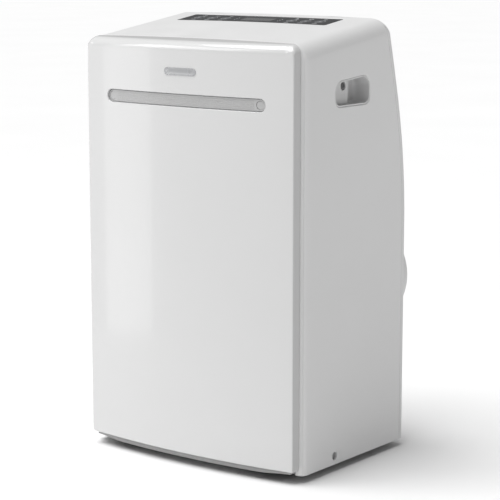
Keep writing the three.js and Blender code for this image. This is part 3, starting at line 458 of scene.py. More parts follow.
def moulded(
    name, color, roughness, grain=1400.0, grain_depth=0.00002, grain_strength=0.25, coat=0.0, variation=0.02,
    wear=0.04, metallic=0.0, streaks=None, flow=None, specular=0.5,
):
    """Moulded or painted finish: cloudy colour, polished edges, fine grain and patches of gloss."""
    n = Nodes(name)
    clouds = n.noise(5.0, 4.0)
    body = n.mix(n.spread(clouds, 0.0, 1.0), shade(color, 1 - variation), shade(color, 1 + variation))
    if streaks:
        lines = n.noise(streaks[0], 4.0, streaks[1])
        body = n.mix(n.spread(lines, 0.0, streaks[2]), body, shade(color, 0.6))
    body = n.mix(n.edges(), body, tuple(min(1.0, c + wear) for c in color))
    n.link(body, n.shader.inputs["Base Color"])
    smears = n.noise(18.0, 5.0)
    n.link(n.spread(smears, roughness * 0.9, roughness * 1.12), n.shader.inputs["Roughness"])
    n.shader.inputs["Metallic"].default_value = metallic
    n.shader.inputs["Specular IOR Level"].default_value = specular
    if coat:
        n.shader.inputs["Coat Weight"].default_value = coat
        n.shader.inputs["Coat Roughness"].default_value = 0.04
    fine = n.bump(n.noise(grain, 2.0), grain_strength, grain_depth)
    if flow:
        fine = n.bump(n.noise(flow[0], 2.0), flow[1], flow[2], fine)
    n.link(fine, n.shader.inputs["Normal"])
    return n.material


MATERIALS = {
    "shell_white": moulded("shell_white", (0.735, 0.735, 0.735), 0.36, 1500.0, 0.00002, 0.22, variation=0.008, wear=0.03),
    "panel_gloss": moulded(
        "panel_gloss", (0.675, 0.675, 0.675), 0.16, 300.0, 0.000004, 0.05, coat=0.6, variation=0.006, wear=0.02,
        flow=(45.0, 0.08, 0.00004),
    ),
    "rear_white": moulded("rear_white", (0.73, 0.73, 0.73), 0.48, 1300.0, 0.00003, 0.3, variation=0.012, wear=0.04),
    "grey_plastic": moulded(
        "grey_plastic", (0.46, 0.465, 0.47), 0.32, 900.0, 0.00002, 0.2, variation=0.02, wear=0.06,
        streaks=(60.0, (0.02, 1.0, 6.0), 0.12),
    ),
    "badge_grey": moulded(
        "badge_grey", (0.42, 0.425, 0.435), 0.26, 1400.0, 0.00001, 0.2, metallic=0.5, variation=0.03, wear=0.12,
        streaks=(300.0, (0.03, 1.0, 1.0), 0.25),
    ),
    "control_dark": moulded("control_dark", (0.04, 0.041, 0.043), 0.42, 900.0, 0.00001, 0.15, variation=0.06, specular=0.2),
    "display_glass": moulded("display_glass", (0.012, 0.013, 0.015), 0.05, 200.0, 0.000002, 0.05, coat=1.0, variation=0.1),
    "button_dark": moulded("button_dark", (0.11, 0.113, 0.12), 0.38, 1300.0, 0.00002, 0.3, variation=0.06, wear=0.06),
    "inner_dark": moulded("inner_dark", (0.30, 0.30, 0.30), 0.5, 900.0, 0.00004, 0.35, variation=0.1, wear=0.05),
    "foam_white": moulded("foam_white", (0.78, 0.78, 0.765), 0.85, 420.0, 0.0003, 0.5, variation=0.03, wear=0.02),
    "castor_black": moulded("castor_black", (0.022, 0.022, 0.024), 0.42, 1100.0, 0.00003, 0.3, variation=0.15, wear=0.04),
    "castor_tyre": moulded("castor_tyre", (0.03, 0.03, 0.031), 0.7, 700.0, 0.00006, 0.5, variation=0.2, wear=0.05),
    "filter_mesh": moulded("filter_mesh", (0.30, 0.31, 0.33), 0.7, 1100.0, 0.0002, 0.6, variation=0.06, wear=0.08),
    "bright_steel": moulded(
        "bright_steel", (0.60, 0.60, 0.61), 0.3, 900.0, 0.00001, 0.3, metallic=1.0, variation=0.05, wear=0.15,
    ),
    "black_steel": moulded(
        "black_steel", (0.035, 0.035, 0.037), 0.4, 500.0, 0.00005, 0.3, variation=0.2, wear=0.12, coat=0.2,
    ),
    "coil_fins": moulded(
        "coil_fins", (0.62, 0.64, 0.66), 0.38, 900.0, 0.00002, 0.3, metallic=1.0, variation=0.06, wear=0.1,
        streaks=(90.0, (1.0, 1.0, 0.06), 0.4),
    ),
    "copper_pipe": moulded(
        "copper_pipe", (0.62, 0.27, 0.13), 0.28, 600.0, 0.00002, 0.3, metallic=1.0, variation=0.14, wear=0.15,
        streaks=(40.0, (1.0, 1.0, 0.4), 0.3),
    ),
}


def dress_cad_nodes():
    """Each CAD node that is left showing takes the material of its slot."""
    for entry in frame["record"]["subparts"]:
        for slot in frame["nodes"][entry["node"]].material_slots:
            slot.link = "OBJECT"
            slot.material = MATERIALS[entry["material_slot"]]


dress_cad_nodes()

# ---------------------------------------------------------------- camera, floor and light

VIEW_YAW = math.radians(37.33)
VIEW_PITCH = math.radians(9.83)

look = Vector(
    (-math.sin(VIEW_YAW) * math.cos(VIEW_PITCH), math.cos(VIEW_YAW) * math.cos(VIEW_PITCH), -math.sin(VIEW_PITCH))
)
camera_data = bpy.data.cameras.new("camera")
camera = bpy.data.objects.new("camera", camera_data)
bpy.context.scene.collection.objects.link(camera)
camera.location = (1.943, -2.5525, 0.906)
camera.rotation_mode = "QUATERNION"
camera.rotation_quaternion = look.to_track_quat("-Z", "Y")
camera_data.lens = 131.95
camera_data.sensor_width = 36.0
camera_data.clip_end = 200.0
bpy.context.scene.camera = camera


def make_floor():
    bm = bmesh.new()
    bmesh.ops.create_grid(bm, x_segments=8, y_segments=8, size=60.0)
    mesh = bpy.data.meshes.new("floor")
    bm.to_mesh(mesh)
    bm.free()
    floor = bpy.data.objects.new("floor", mesh)
    bpy.context.scene.collection.objects.link(floor)
    n = Nodes("floor_pale")
    tone = n.mix(n.spread(n.noise(1.5, 3.0), 0.0, 1.0), (0.93, 0.93, 0.93), (0.95, 0.95, 0.95))
    n.link(tone, n.shader.inputs["Base Color"])
    n.shader.inputs["Roughness"].default_value = 0.6
    mesh.materials.append(n.material)


def area_light(name, location, target, size, energy, camera_sees=False):
    data = bpy.data.lights.new(name, "AREA")
    data.shape = "RECTANGLE"
    data.size, data.size_y = size
    data.energy = energy
    light = bpy.data.objects.new(name, data)
    bpy.context.scene.collection.objects.link(light)
    light.location = location
    light.rotation_mode = "QUATERNION"
    light.rotation_quaternion = (Vector(target) - Vector(location)).to_track_quat("-Z", "Y")
    light.visible_camera = camera_sees
    return light


def sun_light(name, direction, strength, spread):
    data = bpy.data.lights.new(name, "SUN")
    data.energy = strength
    data.angle = math.radians(spread)
    light = bpy.data.objects.new(name, data)
    bpy.context.scene.collection.objects.link(light)
    light.rotation_mode = "QUATERNION"
    light.rotation_quaternion = Vector(direction).to_track_quat("-Z", "Y")
    return light


make_floor()

world = bpy.data.worlds.new("studio")
bpy.context.scene.world = world
world.use_nodes = True
world.node_tree.nodes["Background"].inputs["Color"].default_value = (1.0, 1.0, 1.0, 1.0)
world.node_tree.nodes["Background"].inputs["Strength"].default_value = 0.26

sun_light("key", (0.20, 0.22, -0.95), 2.95, 50.0)
area_light("fill", (-1.25, -1.45, 1.75), (-0.15, -0.15, 0.70), (1.0, 0.8), 6.0)
area_light("strip", (-0.90, -0.83, 0.80), (-0.05, -0.1, 0.80), (0.26, 1.6), 1.2)

bpy.context.scene.view_settings.view_transform = "Standard"

# ---------------------------------------------------------------- cabinet envelope


class ArchLine:
    """One line of the arch, running from front to back: its place at a depth y, at an inset from the surface."""

    def __init__(self, x, base, slope, normal, wall=None):
        self.x, self.base, self.slope, self.normal, self.wall = x, base, slope, normal, wall

    def at(self, y, inset=0.0):
        nx, nz = self.normal
        return Vector((self.x - nx * inset, y, self.base + self.slope * y - nz * inset))

    def outward(self):
        nx, nz = self.normal
        return Vector((nx, -self.slope * nz, nz)).normalized()


def arch_lines(half, radius, bottom, wall_steps=24, arc_steps=12, crown_steps=40):
    """Right wall from the bottom up, shoulder, crown, shoulder, left wall down."""
    shoulder = TOP_Z - TOP_CROWN
    span = half - radius
    lean = math.atan(2 * TOP_CROWN / span)
    rise = shoulder - radius - bottom
    right = []
    for k in range(wall_steps + 1):
        t = k / wall_steps
        right.append(ArchLine(half, bottom + t * rise, TOP_SLOPE * t, (1.0, 0.0), t))
    for k in range(1, arc_steps + 1):
        a = (math.pi / 2 - lean) * k / arc_steps
        point = (span + radius * math.cos(a), shoulder - radius + radius * math.sin(a))
        right.append(ArchLine(*point, TOP_SLOPE, (math.cos(a), math.sin(a))))
    edge_x = right[-1].x
    crown = []
    for k in range(1, crown_steps):
        x = edge_x * (1 - 2 * k / crown_steps)
        steep = 2 * TOP_CROWN * x / span**2
        size = math.hypot(steep, 1)
        crown.append(ArchLine(x, TOP_Z - TOP_CROWN * (x / span) ** 2, TOP_SLOPE, (steep / size, 1 / size)))
    left = [
        ArchLine(-line.x, line.base, line.slope, (-line.normal[0], line.normal[1]), line.wall)
        for line in reversed(right)
    ]
    return right + crown + left


def side_corner():
    lean = math.tan(REAR_LEAN)
    start = rear_y(REAR_CURVE_TOP_Z) + lean * (REAR_CURVE_TOP_Z - TOP_Z)
    y = start / (1 + lean * TOP_SLOPE)
    return y, top_z(y)


CORNER_Y, CORNER_Z = side_corner()


def seam_profile():
    """Points (y, z) of the back's side view, from the floor of the cabinet to the top."""
    points = [(BACK_Y, BOTTOM), (BACK_Y, REAR_STRAIGHT_Z)]
    for k in range(1, 41):
        z = REAR_STRAIGHT_Z + (REAR_CURVE_TOP_Z - REAR_STRAIGHT_Z) * k / 40
        points.append((rear_y(z), z))
    a = Vector((CORNER_Y + REAR_CORNER * math.sin(REAR_LEAN), CORNER_Z - REAR_CORNER * math.cos(REAR_LEAN)))
    b = Vector((CORNER_Y - REAR_CORNER, CORNER_Z - REAR_CORNER * TOP_SLOPE))
    c = Vector((CORNER_Y, CORNER_Z))
    for k in range(25):
        t = k / 24
        points.append(tuple(a * (1 - t) ** 2 + c * (2 * t * (1 - t)) + b * t**2))
    return points


PROFILE = seam_profile()


def profile_top(y):
    """Highest z of the side view at a depth y."""
    if y <= PROFILE[-1][0]:
        return 1e9
    for (y1, z1), (y0, z0) in zip(PROFILE, PROFILE[1:]):
        if y0 <= y <= y1 and y1 > y0:
            return z0 + (z1 - z0) * (y - y0) / (y1 - y0)
    return -1e9


def seam_y(line, inset):
    """Depth at which an arch line meets the back's side view moved forward by inset."""
    low, high = -50.0, BACK_Y - inset
    if line.at(high).z <= REAR_STRAIGHT_Z:
        return high
    for _ in range(40):
        middle = (low + high) / 2
        if line.at(middle).z <= profile_top(middle + inset):
            low = middle
        else:
            high = middle
    return low


def smooth(t):
    t = min(1.0, max(0.0, t))
    return t * t * (3 - 2 * t)


def quarter(steps):
    return [math.pi / 2 * k / steps for k in range(steps + 1)]


# ---------------------------------------------------------------- side openings

HANDLE_FRONT, HANDLE_BACK = -75.5, 28.5
HANDLE_LOW, HANDLE_HIGH_FRONT, HANDLE_HIGH_BACK = 621.0, 664.0, 673.0
HANDLE = outline(
    [
        (HANDLE_FRONT, HANDLE_LOW), (HANDLE_BACK, HANDLE_LOW),
        (HANDLE_BACK, HANDLE_HIGH_BACK), (HANDLE_FRONT, HANDLE_HIGH_FRONT),
    ],
    [15.0, 15.0, 22.0, 22.0],
    10,
)
side_screw_low, side_screw_high = box_mm("right_side_screw")
SIDE_SCREW_Y = (side_screw_low.y + side_screw_high.y) / 2
SIDE_SCREW_Z = (side_screw_low.z + side_screw_high.z) / 2
SIDE_SCREW_HOLE = circle(SIDE_SCREW_Y, SIDE_SCREW_Z, 7.2, 32)

CONTROL_HALF = 162.0
CONTROL_FRONT_Y, CONTROL_BACK_Y = -10.0, 48.0
CONTROL_Y = (CONTROL_FRONT_Y + CONTROL_BACK_Y) / 2
CONTROL_REACH = (CONTROL_BACK_Y - CONTROL_FRONT_Y) / 2
CONTROL_PLAN = rectangle(
    -CONTROL_HALF, CONTROL_HALF, CONTROL_Y - CONTROL_REACH * math.cos(TOP_TILT),
    CONTROL_Y + CONTROL_REACH * math.cos(TOP_TILT), 4.0, 6,
)


SHELL_FRONT_EDGE, SHELL_TOP_EDGE = 12.0, 1.6


def cabinet_shell():
    b = Builder()
    lines = arch_lines(HALF, SHOULDER, BOTTOM)
    lip, seam_round = 16.0, 0.8
    depth_steps = 40
    walls = 25
    shoulders = 12
    for i, line in enumerate(lines):
        turned = smooth((min(i, len(lines) - 1 - i) - walls + 1) / shoulders)
        line.front = SHELL_FRONT_EDGE + (SHELL_TOP_EDGE - SHELL_FRONT_EDGE) * turned
    ends = {id(line): seam_y(line, COVER_DEPTH + GAP) for line in lines}

    def depth(line, k, inset):
        start = SEAM_Y + (line.front if inset == 0 else WALL)
        end = ends[id(line)] - (seam_round if inset == 0 else 0)
        return start + (end - start) * k / depth_steps

    def row(line, inset):
        return [line.at(depth(line, k, inset), inset) for k in range(depth_steps + 1)]

    for inset in (0.0, WALL):
        # shoulders
        for first in (walls - 1, len(lines) - walls - shoulders):
            group = lines[first : first + shoulders + 1]
            b.bridge([row(line, inset) for line in group], closed=False)
        # walls
        for side, group in ((1, lines[:walls]), (-1, lines[-walls:][::-1])):
            front = [line.at(depth(line, 0, inset), inset) for line in group]
            rear = [line.at(depth(line, depth_steps, inset), inset) for line in group]
            top = row(group[-1], inset)
            low = [
                group[0].at(depth(group[0], k, inset), inset) for k in range(depth_steps + 1)
            ]
            loop = low + rear[1:] + top[::-1][1:] + front[::-1][1:-1]
            radius, screw_radius = (1.2, 0.8) if inset == 0 else (0.0, 0.0)
            x = side * (HALF - inset)
            b.fill(
                [(p.y, p.z) for p in loop],
                [HANDLE(radius), SIDE_SCREW_HOLE(screw_radius)],
                lambda p, x=x: Vector((x, p[0], p[1])),
                (16.0, 16.0),
                exact=loop,
            )
        # crown
        crown = lines[walls + shoulders - 1 : len(lines) - walls - shoulders + 1]
        front = [line.at(depth(line, 0, inset), inset) for line in crown]
        rear = [line.at(depth(line, depth_steps, inset), inset) for line in crown]
        right, left = row(crown[0], inset), row(crown[-1], inset)
        loop = front[::-1] + right[1:] + rear[1:] + left[::-1][1:-1]
        span = HALF - SHOULDER

        def crown_place(p, inset=inset):
            x, y = p[0], p[1]
            return Vector((x, y, top_z(y) - TOP_CROWN * (x / span) ** 2 - inset))

        edge = 0.8 if inset == 0 else 0.0
        hole = spaced_like(CONTROL_PLAN(0.0), CONTROL_PLAN(edge), 12.0)
        b.fill([(p.x, p.y) for p in loop], [hole], crown_place, (12.0, 12.0), exact=loop)

    # front edge, ledge and lip
    rings = []
    for a in quarter(6):
        rings.append([
            line.at(SEAM_Y + line.front * (1 - math.sin(a)), line.front * (1 - math.cos(a))) for line in lines
        ])
    rings.append([line.at(SEAM_Y, lip - 0.5) for line in lines])
    rings.append([line.at(SEAM_Y + 0.5, lip) for line in lines])
    rings.append([line.at(SEAM_Y + WALL, lip) for line in lines])
    rings.append([line.at(SEAM_Y + WALL, WALL) for line in lines])
    b.bridge(rings, closed=False)

    # rear edge
    rings = []
    for a in quarter(3):
        inset = seam_round * (1 - math.cos(a))
        back = seam_round * (1 - math.sin(a))
        rings.append([line.at(ends[id(line)] - back, inset) for line in lines])
    rings.append([line.at(ends[id(line)], WALL) for line in lines])
    b.bridge(rings, closed=False)

    # rims of the openings
    for side in (1, -1):
        for shape, radius in ((HANDLE, 1.2), (SIDE_SCREW_HOLE, 0.8)):
            rings = []
            for a in quarter(4):
                depth_in = radius * (1 - math.cos(a))
                loop = shape(radius * (1 - math.sin(a)))
                rings.append([Vector((side * (HALF - depth_in), y, z)) for y, z in loop])
            rings.append([Vector((side * (HALF - WALL), y, z)) for y, z in shape(0.0)])
            b.bridge(rings)
    rings = []
    span = HALF - SHOULDER
    for a in quarter(4):
        drop = 0.8 * (1 - math.cos(a))
        loop = spaced_like(CONTROL_PLAN(0.0), CONTROL_PLAN(0.8 * (1 - math.sin(a))), 12.0)
        rings.append([Vector((x, y, top_z(y) - TOP_CROWN * (x / span) ** 2 - drop)) for x, y in loop])
    under = spaced_like(CONTROL_PLAN(0.0), CONTROL_PLAN(0.0), 12.0)
    rings.append([Vector((x, y, top_z(y) - TOP_CROWN * (x / span) ** 2 - WALL)) for x, y in under])
    b.bridge(rings)
    b.close()
    return b


make("cabinet_shell_skin", cabinet_shell(), MATERIALS["shell_white"], "cabinet", ("cabinet_shell",))

# ---------------------------------------------------------------- front panel

PANEL_CORNER = 15.0
PANEL_EDGE = 2.0
PANEL_FOOT = 5.0
PANEL_FOOT_EDGE = 5.5
louvre_low, louvre_high = box_mm("outlet_louvre")
SLOT_Z = (louvre_low.z + louvre_high.z) / 2
SLOT_HALF_LENGTH, SLOT_HALF_HEIGHT = 170.0, 11.0
SLOT = guided(rectangle(
    -SLOT_HALF_LENGTH, SLOT_HALF_LENGTH, SLOT_Z - SLOT_HALF_HEIGHT, SLOT_Z + SLOT_HALF_HEIGHT, SLOT_HALF_HEIGHT, 12
), 9.0)
SLOT_RIM = 1.4


def bow_normal(p):
    return Vector((p[0] / BOW_RADIUS, -1.0, 0.0)).normalized()


def on_bow(sunk=0.0):
    return lambda p, depth=0.0: Vector((p[0], bow_y(p[0]) + sunk + depth, p[1]))


def panel_lines():
    """The panel's outline seen from the front, as a closed loop of lines running backward."""
    lines = arch_lines(PANEL_HALF, PANEL_CORNER, PANEL_BOTTOM + PANEL_FOOT, 30, 14, 44)
    walls, arcs = 31, 14
    for i, line in enumerate(lines):
        place = min(i, len(lines) - 1 - i)
        line.edge = PANEL_EDGE + (PANEL_CORNER - PANEL_EDGE) * smooth((place - walls + 4) / (arcs + 3))
        line.back = PANEL_BACK
    foot = []
    for k in range(1, 5):
        a = -math.pi / 2 * k / 4
        x = PANEL_HALF - PANEL_FOOT + PANEL_FOOT * math.cos(a)
        z = PANEL_BOTTOM + PANEL_FOOT + PANEL_FOOT * math.sin(a)
        foot.append(ArchLine(x, z, 0.0, (math.cos(a), math.sin(a))))
    reach = PANEL_HALF - PANEL_FOOT
    bottom = [ArchLine(-reach + 2 * reach * k / 44, PANEL_BOTTOM, 0.0, (0.0, -1.0)) for k in range(1, 44)]
    for line in bottom:
        line.back = bow_y(line.x) + 8.0
    for line in foot:
        line.back = PANEL_BACK
    left = []
    for line in reversed(foot):
        mirrored = ArchLine(-line.x, line.base, 0.0, (-line.normal[0], line.normal[1]))
        mirrored.back = PANEL_BACK
        left.append(mirrored)
    for part in (foot, left):
        for k, line in enumerate(part if part is foot else reversed(part)):
            line.edge = PANEL_EDGE + (PANEL_FOOT_EDGE - PANEL_EDGE) * (k + 1) / 5
    for line in bottom:
        line.edge = PANEL_FOOT_EDGE
    return lines + left[::-1] + bottom + foot[::-1]


def panel_point(line, angle, offset=0.0):
    radius = max(line.edge - offset, 0.3)
    inset = offset + radius * (1 - math.sin(angle))
    x = line.x - line.normal[0] * inset
    return line.at(bow_y(x) + offset + radius * (1 - math.cos(angle)), inset)


def front_panel():
    b = Builder()
    lines = panel_lines()
    first = [panel_point(line, 0.0) for line in lines]
    b.fill([(p.x, p.z) for p in first], [SLOT(SLOT_RIM)], on_bow(), (9.0, 20.0), bow_normal, exact=first)
    rings = [[panel_point(line, a) for line in lines] for a in quarter(10)]
    rings.append([line.at(line.back - 0.5, 0.0) for line in lines])
    rings.append([line.at(line.back, 0.5) for line in lines])
    rings.append([line.at(line.back, WALL) for line in lines])
    rings += [[panel_point(line, a, WALL) for line in lines] for a in reversed(quarter(4))]
    b.bridge(rings, normal=bow_normal)
    inner = rings[-1]
    b.fill([(p.x, p.z) for p in inner], [SLOT(0.0)], on_bow(WALL), (9.0, 20.0), exact=inner)
    rim = []
    for a in quarter(4):
        loop = SLOT(SLOT_RIM * (1 - math.sin(a)))
        rim.append([on_bow(SLOT_RIM * (1 - math.cos(a)))(p) for p in loop])
    rim.append([on_bow(WALL)(p) for p in SLOT(0.0)])
    b.bridge(rim, normal=bow_normal)
    # Faces along the panel's side returns take the second material, a darker grey: painted shade for the shadow in the
    # gap beside the shell.
    for face in b.bm.faces:
        if all(abs(v.co.x) > PANEL_HALF - 0.4 for v in face.verts):
            face.material_index = 1
    return b


def louvre():
    """Blade with fine ribs along its face, a round pivot cap sunk at each end, and its two pins."""
    b = Builder()
    half, rise = SLOT_HALF_LENGTH - 1.3, SLOT_HALF_HEIGHT - 1.1
    shape = guided(rectangle(-half, half, SLOT_Z - rise, SLOT_Z + rise, rise, 12), 9.0)
    caps = [circle(side * (half - rise), SLOT_Z, rise - 2.4, 40) for side in (-1, 1)]
    b.plate(shape, caps, on_bow(WALL), 2.4, 0.9, (9.0, 4.0), hole_edge=0.5)
    for side in (-1, 1):
        cap = circle(side * (half - rise), SLOT_Z, rise - 2.7, 40)
        b.plate(cap, [], on_bow(WALL + 0.7), 1.7, 0.5, (4.0, 4.0))
    for k in range(5):
        z = SLOT_Z + (k - 2) * 3.0
        reach = half - 2 * rise - 2
        rib = rectangle(-reach, reach, z - 0.45, z + 0.45, 0.4, 4)
        b.plate(guided(rib, 9.0), [], on_bow(WALL - 0.45), 1.0, 0.3)
    axis = Vector((0.0, -180.0, SLOT_Z))
    for side in (-1, 1):
        x0, x1 = sorted((side * (half - 14.0), side * louvre_high.x))
        profile = [(0.001, x0), (1.6, x0), (1.8, x0 + 0.3), (1.8, x1 - 0.4), (1.4, x1), (0.001, x1)]
        b.lathe(profile, axis, "x", 24, closed=False)
        xm = side * (half - 14.0)
        section = rounded_bar_section(4.0, 6.4, 1.0, (Vector((1, 0, 0)), Vector((0, 0, 1))))
        b.bar(section, Vector((xm, bow_y(xm) + 4.2, SLOT_Z)), Vector((xm, -177.0, SLOT_Z)))
    return b


def slot_trim():
    """Soft lip round the slot, just behind the panel's edge."""
    b = Builder()
    def loop(grow):
        half, rise = SLOT_HALF_LENGTH + grow, SLOT_HALF_HEIGHT + grow
        return guided(rectangle(-half, half, SLOT_Z - rise, SLOT_Z + rise, rise, 12), 9.0)

    b.plate(loop(3.0), [loop(-0.6)], on_bow(WALL + 0.1), 1.6, 0.3)
    return b


badge_low, badge_high = box_mm("blank_badge")


def badge():
    b = Builder()
    rise = (badge_high.z - badge_low.z) / 2
    middle = (badge_high.z + badge_low.z) / 2
    pill = guided(rectangle(badge_low.x, badge_high.x, badge_low.z, badge_high.z, rise - 0.01, 14), 6.0)
    reach = badge_high.x - 2
    groove = guided(rectangle(-reach, reach, middle - rise + 2, middle + rise - 2, rise - 2.01, 14), 6.0)
    proud = FRONT_Y - badge_low.y
    b.plate(pill, [groove], lambda p, depth: on_bow(-proud)(p, depth * 0.98), proud * 0.98, 0.35, (5.0, 3.0), 0.25)
    b.plate(groove, [], lambda p, depth: on_bow(0.35 - proud)(p, depth), proud - 0.4, 0.02, (5.0, 3.0))
    return b


# Darker grey for the panel's side returns: painted shade standing in for the shadow in the gap beside the shell.
SIDE_RETURN_PAINTED_SHADE = moulded("panel_side_return_painted_shade", (0.57, 0.57, 0.57), 0.4, 1400.0, 0.00002, 0.2, variation=0.01, wear=0.02)
CUP_GREY = moulded("cup_grey", (0.61, 0.61, 0.61), 0.5, 1100.0, 0.00003, 0.3, variation=0.02, wear=0.04)

make("front_panel_skin", front_panel(), MATERIALS["panel_gloss"], "cabinet", ("front_panel",),
     second=SIDE_RETURN_PAINTED_SHADE)
make("slot_trim_lip", slot_trim(), MATERIALS["grey_plastic"], "cabinet")
LOUVRE_GREY = moulded("louvre_grey", (0.48, 0.48, 0.48), 0.17, 900.0, 0.00001, 0.1, variation=0.02, wear=0.04)
make("outlet_louvre_blade", louvre(), LOUVRE_GREY, "louvre", ("outlet_louvre",))
make("badge_plate", badge(), MATERIALS["badge_grey"], "cabinet", ("blank_badge",))

# ---------------------------------------------------------------- rear cover and grilles

REAR_EDGE, REAR_ROLL = 9.0, 22.0
intake_low, intake_high = box_mm("intake_grille")
window_low, window_high = box_mm("condenser_grille")
flange_low, flange_high = box_mm("exhaust_flange")
collar_low, collar_high = box_mm("hose_collar")
gland_low, gland_high = box_mm("cord_gland")
drain_low, drain_high = box_mm("drain_cap")
EXHAUST = (flange_low + flange_high) / 2
GLAND = (gland_low + gland_high) / 2
DRAIN = (drain_low + drain_high) / 2
FLANGE_RADIUS = (flange_high.x - flange_low.x) / 2


def on_rear(sunk=0.0):
    return lambda p, depth=0.0: Vector((p[0], rear_y(p[1]) - sunk - depth, p[1]))


def rear_normal(p):
    rise = (rear_y(p[2] + 0.5) - rear_y(p[2] - 0.5)) if p[2] > REAR_STRAIGHT_Z else 0.0
    return Vector((0.0, 1.0, -rise)).normalized()


def rear_point(line, angle, offset=0.0):
    radius = max(line.edge - offset, 0.3)
    inset = offset + radius * (1 - math.sin(angle))
    y = BACK_Y
    for _ in range(12):
        y = rear_y(line.at(y, inset).z) - offset - radius * (1 - math.cos(angle))
    return line.at(y, inset)


def rear_cover():
    b = Builder()
    lines = arch_lines(HALF, SHOULDER, BOTTOM, 44, 14, 40)
    walls, arcs = 45, 14
    for i, line in enumerate(lines):
        place = min(i, len(lines) - 1 - i)
        line.edge = REAR_EDGE + (REAR_ROLL - REAR_EDGE) * smooth((place - walls + 4) / (arcs + 4))
    holes = [
        rectangle(-170.0, 170.0, 470.0, 690.0, 4.0, 5),
        rectangle(-196.0, -20.0, 66.0, 374.0, 4.0, 5),
        circle(EXHAUST.x, EXHAUST.z, FLANGE_RADIUS - 12.0, 72),
        circle(GLAND.x, GLAND.z, 8.4, 28),
        circle(DRAIN.x, DRAIN.z, 9.4, 28),
    ]

    def shaped(hole, grow):
        loop = hole(grow)
        guide = hole(0.0)
        return spaced_like(guide, loop, 14.0)

    rim = 0.7
    outer = [rear_point(line, 0.0) for line in lines]
    floor_steps = 24
    left, right = outer[-1], outer[0]
    base = [left.lerp(right, k / floor_steps) for k in range(1, floor_steps)]
    loop = outer + base
    b.fill(
        [(p.x, p.z) for p in loop], [shaped(h, rim) for h in holes], on_rear(), (14.0, 14.0), rear_normal, exact=loop
    )
    rings = [[rear_point(line, a) for line in lines] for a in quarter(9)]
    seams = [seam_y(line, COVER_DEPTH) for line in lines]
    for k in (1, 2):
        rings.append([
            line.at(last.y + (seam + 0.8 - last.y) * k / 2)
            for line, last, seam in zip(lines, rings[9], seams)
        ])
    for a in quarter(3)[1:]:
        rings.append([
            line.at(seam + 0.8 * (1 - math.sin(a)), 0.8 * (1 - math.cos(a))) for line, seam in zip(lines, seams)
        ])
    rings.append([line.at(seam, WALL) for line, seam in zip(lines, seams)])
    inner = [[rear_point(line, a, WALL) for line in lines] for a in reversed(quarter(4))]
    b.bridge(rings + inner, closed=False, normal=rear_normal)
    back = inner[-1]
    base = [back[-1].lerp(back[0], k / floor_steps) for k in range(1, floor_steps)]
    loop = back + base
    b.fill([(p.x, p.z) for p in loop], [shaped(h, 0.0) for h in holes], on_rear(WALL), (14.0, 14.0), exact=loop)
    for hole in holes:
        rim_rings = []
        for a in quarter(3):
            rim_rings.append([on_rear(rim * (1 - math.cos(a)))(p) for p in shaped(hole, rim * (1 - math.sin(a)))])
        rim_rings.append([on_rear(WALL)(p) for p in shaped(hole, 0.0)])
        b.bridge(rim_rings, normal=rear_normal)
    b.close()
    return b


def slat_grille(frame_shape, window, count, place, low, high, x0, x1, rib_xs, blade=8.0, tilt=38.0):
    """A frame with tilted slats across its window and upright ribs behind them."""
    b = Builder()
    b.plate(frame_shape, [window], place, WALL, 0.7, (14.0, 14.0), hole_edge=0.6)
    angle = math.radians(tilt)
    pitch = (high - low) / count
    for k in range(count):
        z = low + (k + 0.5) * pitch
        centre = place((0.0, z), 1.6)
        across = Vector((0.0, math.cos(angle), -math.sin(angle)))
        upright = Vector((0.0, math.sin(angle), math.cos(angle)))
        section = rounded_bar_section(blade, 1.7, 0.8, (across, upright), 3)
        middle = Vector((0.0, centre.y - blade / 2 * math.cos(angle) + 1.3, z))
        b.bar(section, middle + Vector((x0 - 0.5, 0, 0)), middle + Vector((x1 + 0.5, 0, 0)))
    for x in rib_xs:
        section = [Vector((dx, 0.0, 0.0)) for dx in (-0.9, 0.9)]
        a, c = place((x, low - 1.0), 3.2), place((x, high + 1.0), 3.2)
        steps = 16
        rings = []
        for k in range(steps + 1):
            z = low - 1.0 + (high - low + 2.0) * k / steps
            y = place((x, z), 0.0).y
            rings.append([
                Vector((x - 0.9, y - 3.0, z)), Vector((x + 0.9, y - 3.0, z)),
                Vector((x + 0.9, y - 6.2, z)), Vector((x - 0.9, y - 6.2, z)),
            ])
        b.bridge(rings)
        b.bm.faces.new(b.verts(rings[0]))
        b.bm.faces.new(b.verts(rings[-1]))
    return b


def intake_grille():
    shape = rectangle(intake_low.x, intake_high.x, intake_low.z, intake_high.z, 4.0, 5)
    low, high, reach = intake_low.z + 14.0, intake_high.z - 12.0, intake_high.x - 13.6
    window = rectangle(-reach, reach, low, high, 3.0, 5)
    ribs = [reach * (k / 3 - 1) for k in range(1, 6)]
    return slat_grille(guided(shape, 14.0), guided(window, 14.0), 18, on_rear(), low, high, -reach, reach, ribs, 6.4)


def condenser_grille():
    shape = rectangle(window_low.x, window_high.x, window_low.z, window_high.z, 4.0, 5)
    x0, x1 = window_low.x + 10.0, window_high.x - 10.0
    low, high = window_low.z + 10.0, window_high.z - 10.0
    window = rectangle(x0, x1, low, high, 3.0, 5)
    ribs = [x0 + (x1 - x0) * k / 4 for k in range(1, 4)]
    return slat_grille(guided(shape, 14.0), guided(window, 14.0), 26, on_rear(), low, high, x0, x1, ribs, 7.0)


def fillet_profile(points, radius, steps=4):
    """The closed profile with its corners rounded; radius is one number, or one for each point."""
    shape = outline([(p[0], p[1]) for p in points], radius, steps)
    return shape(0.0)


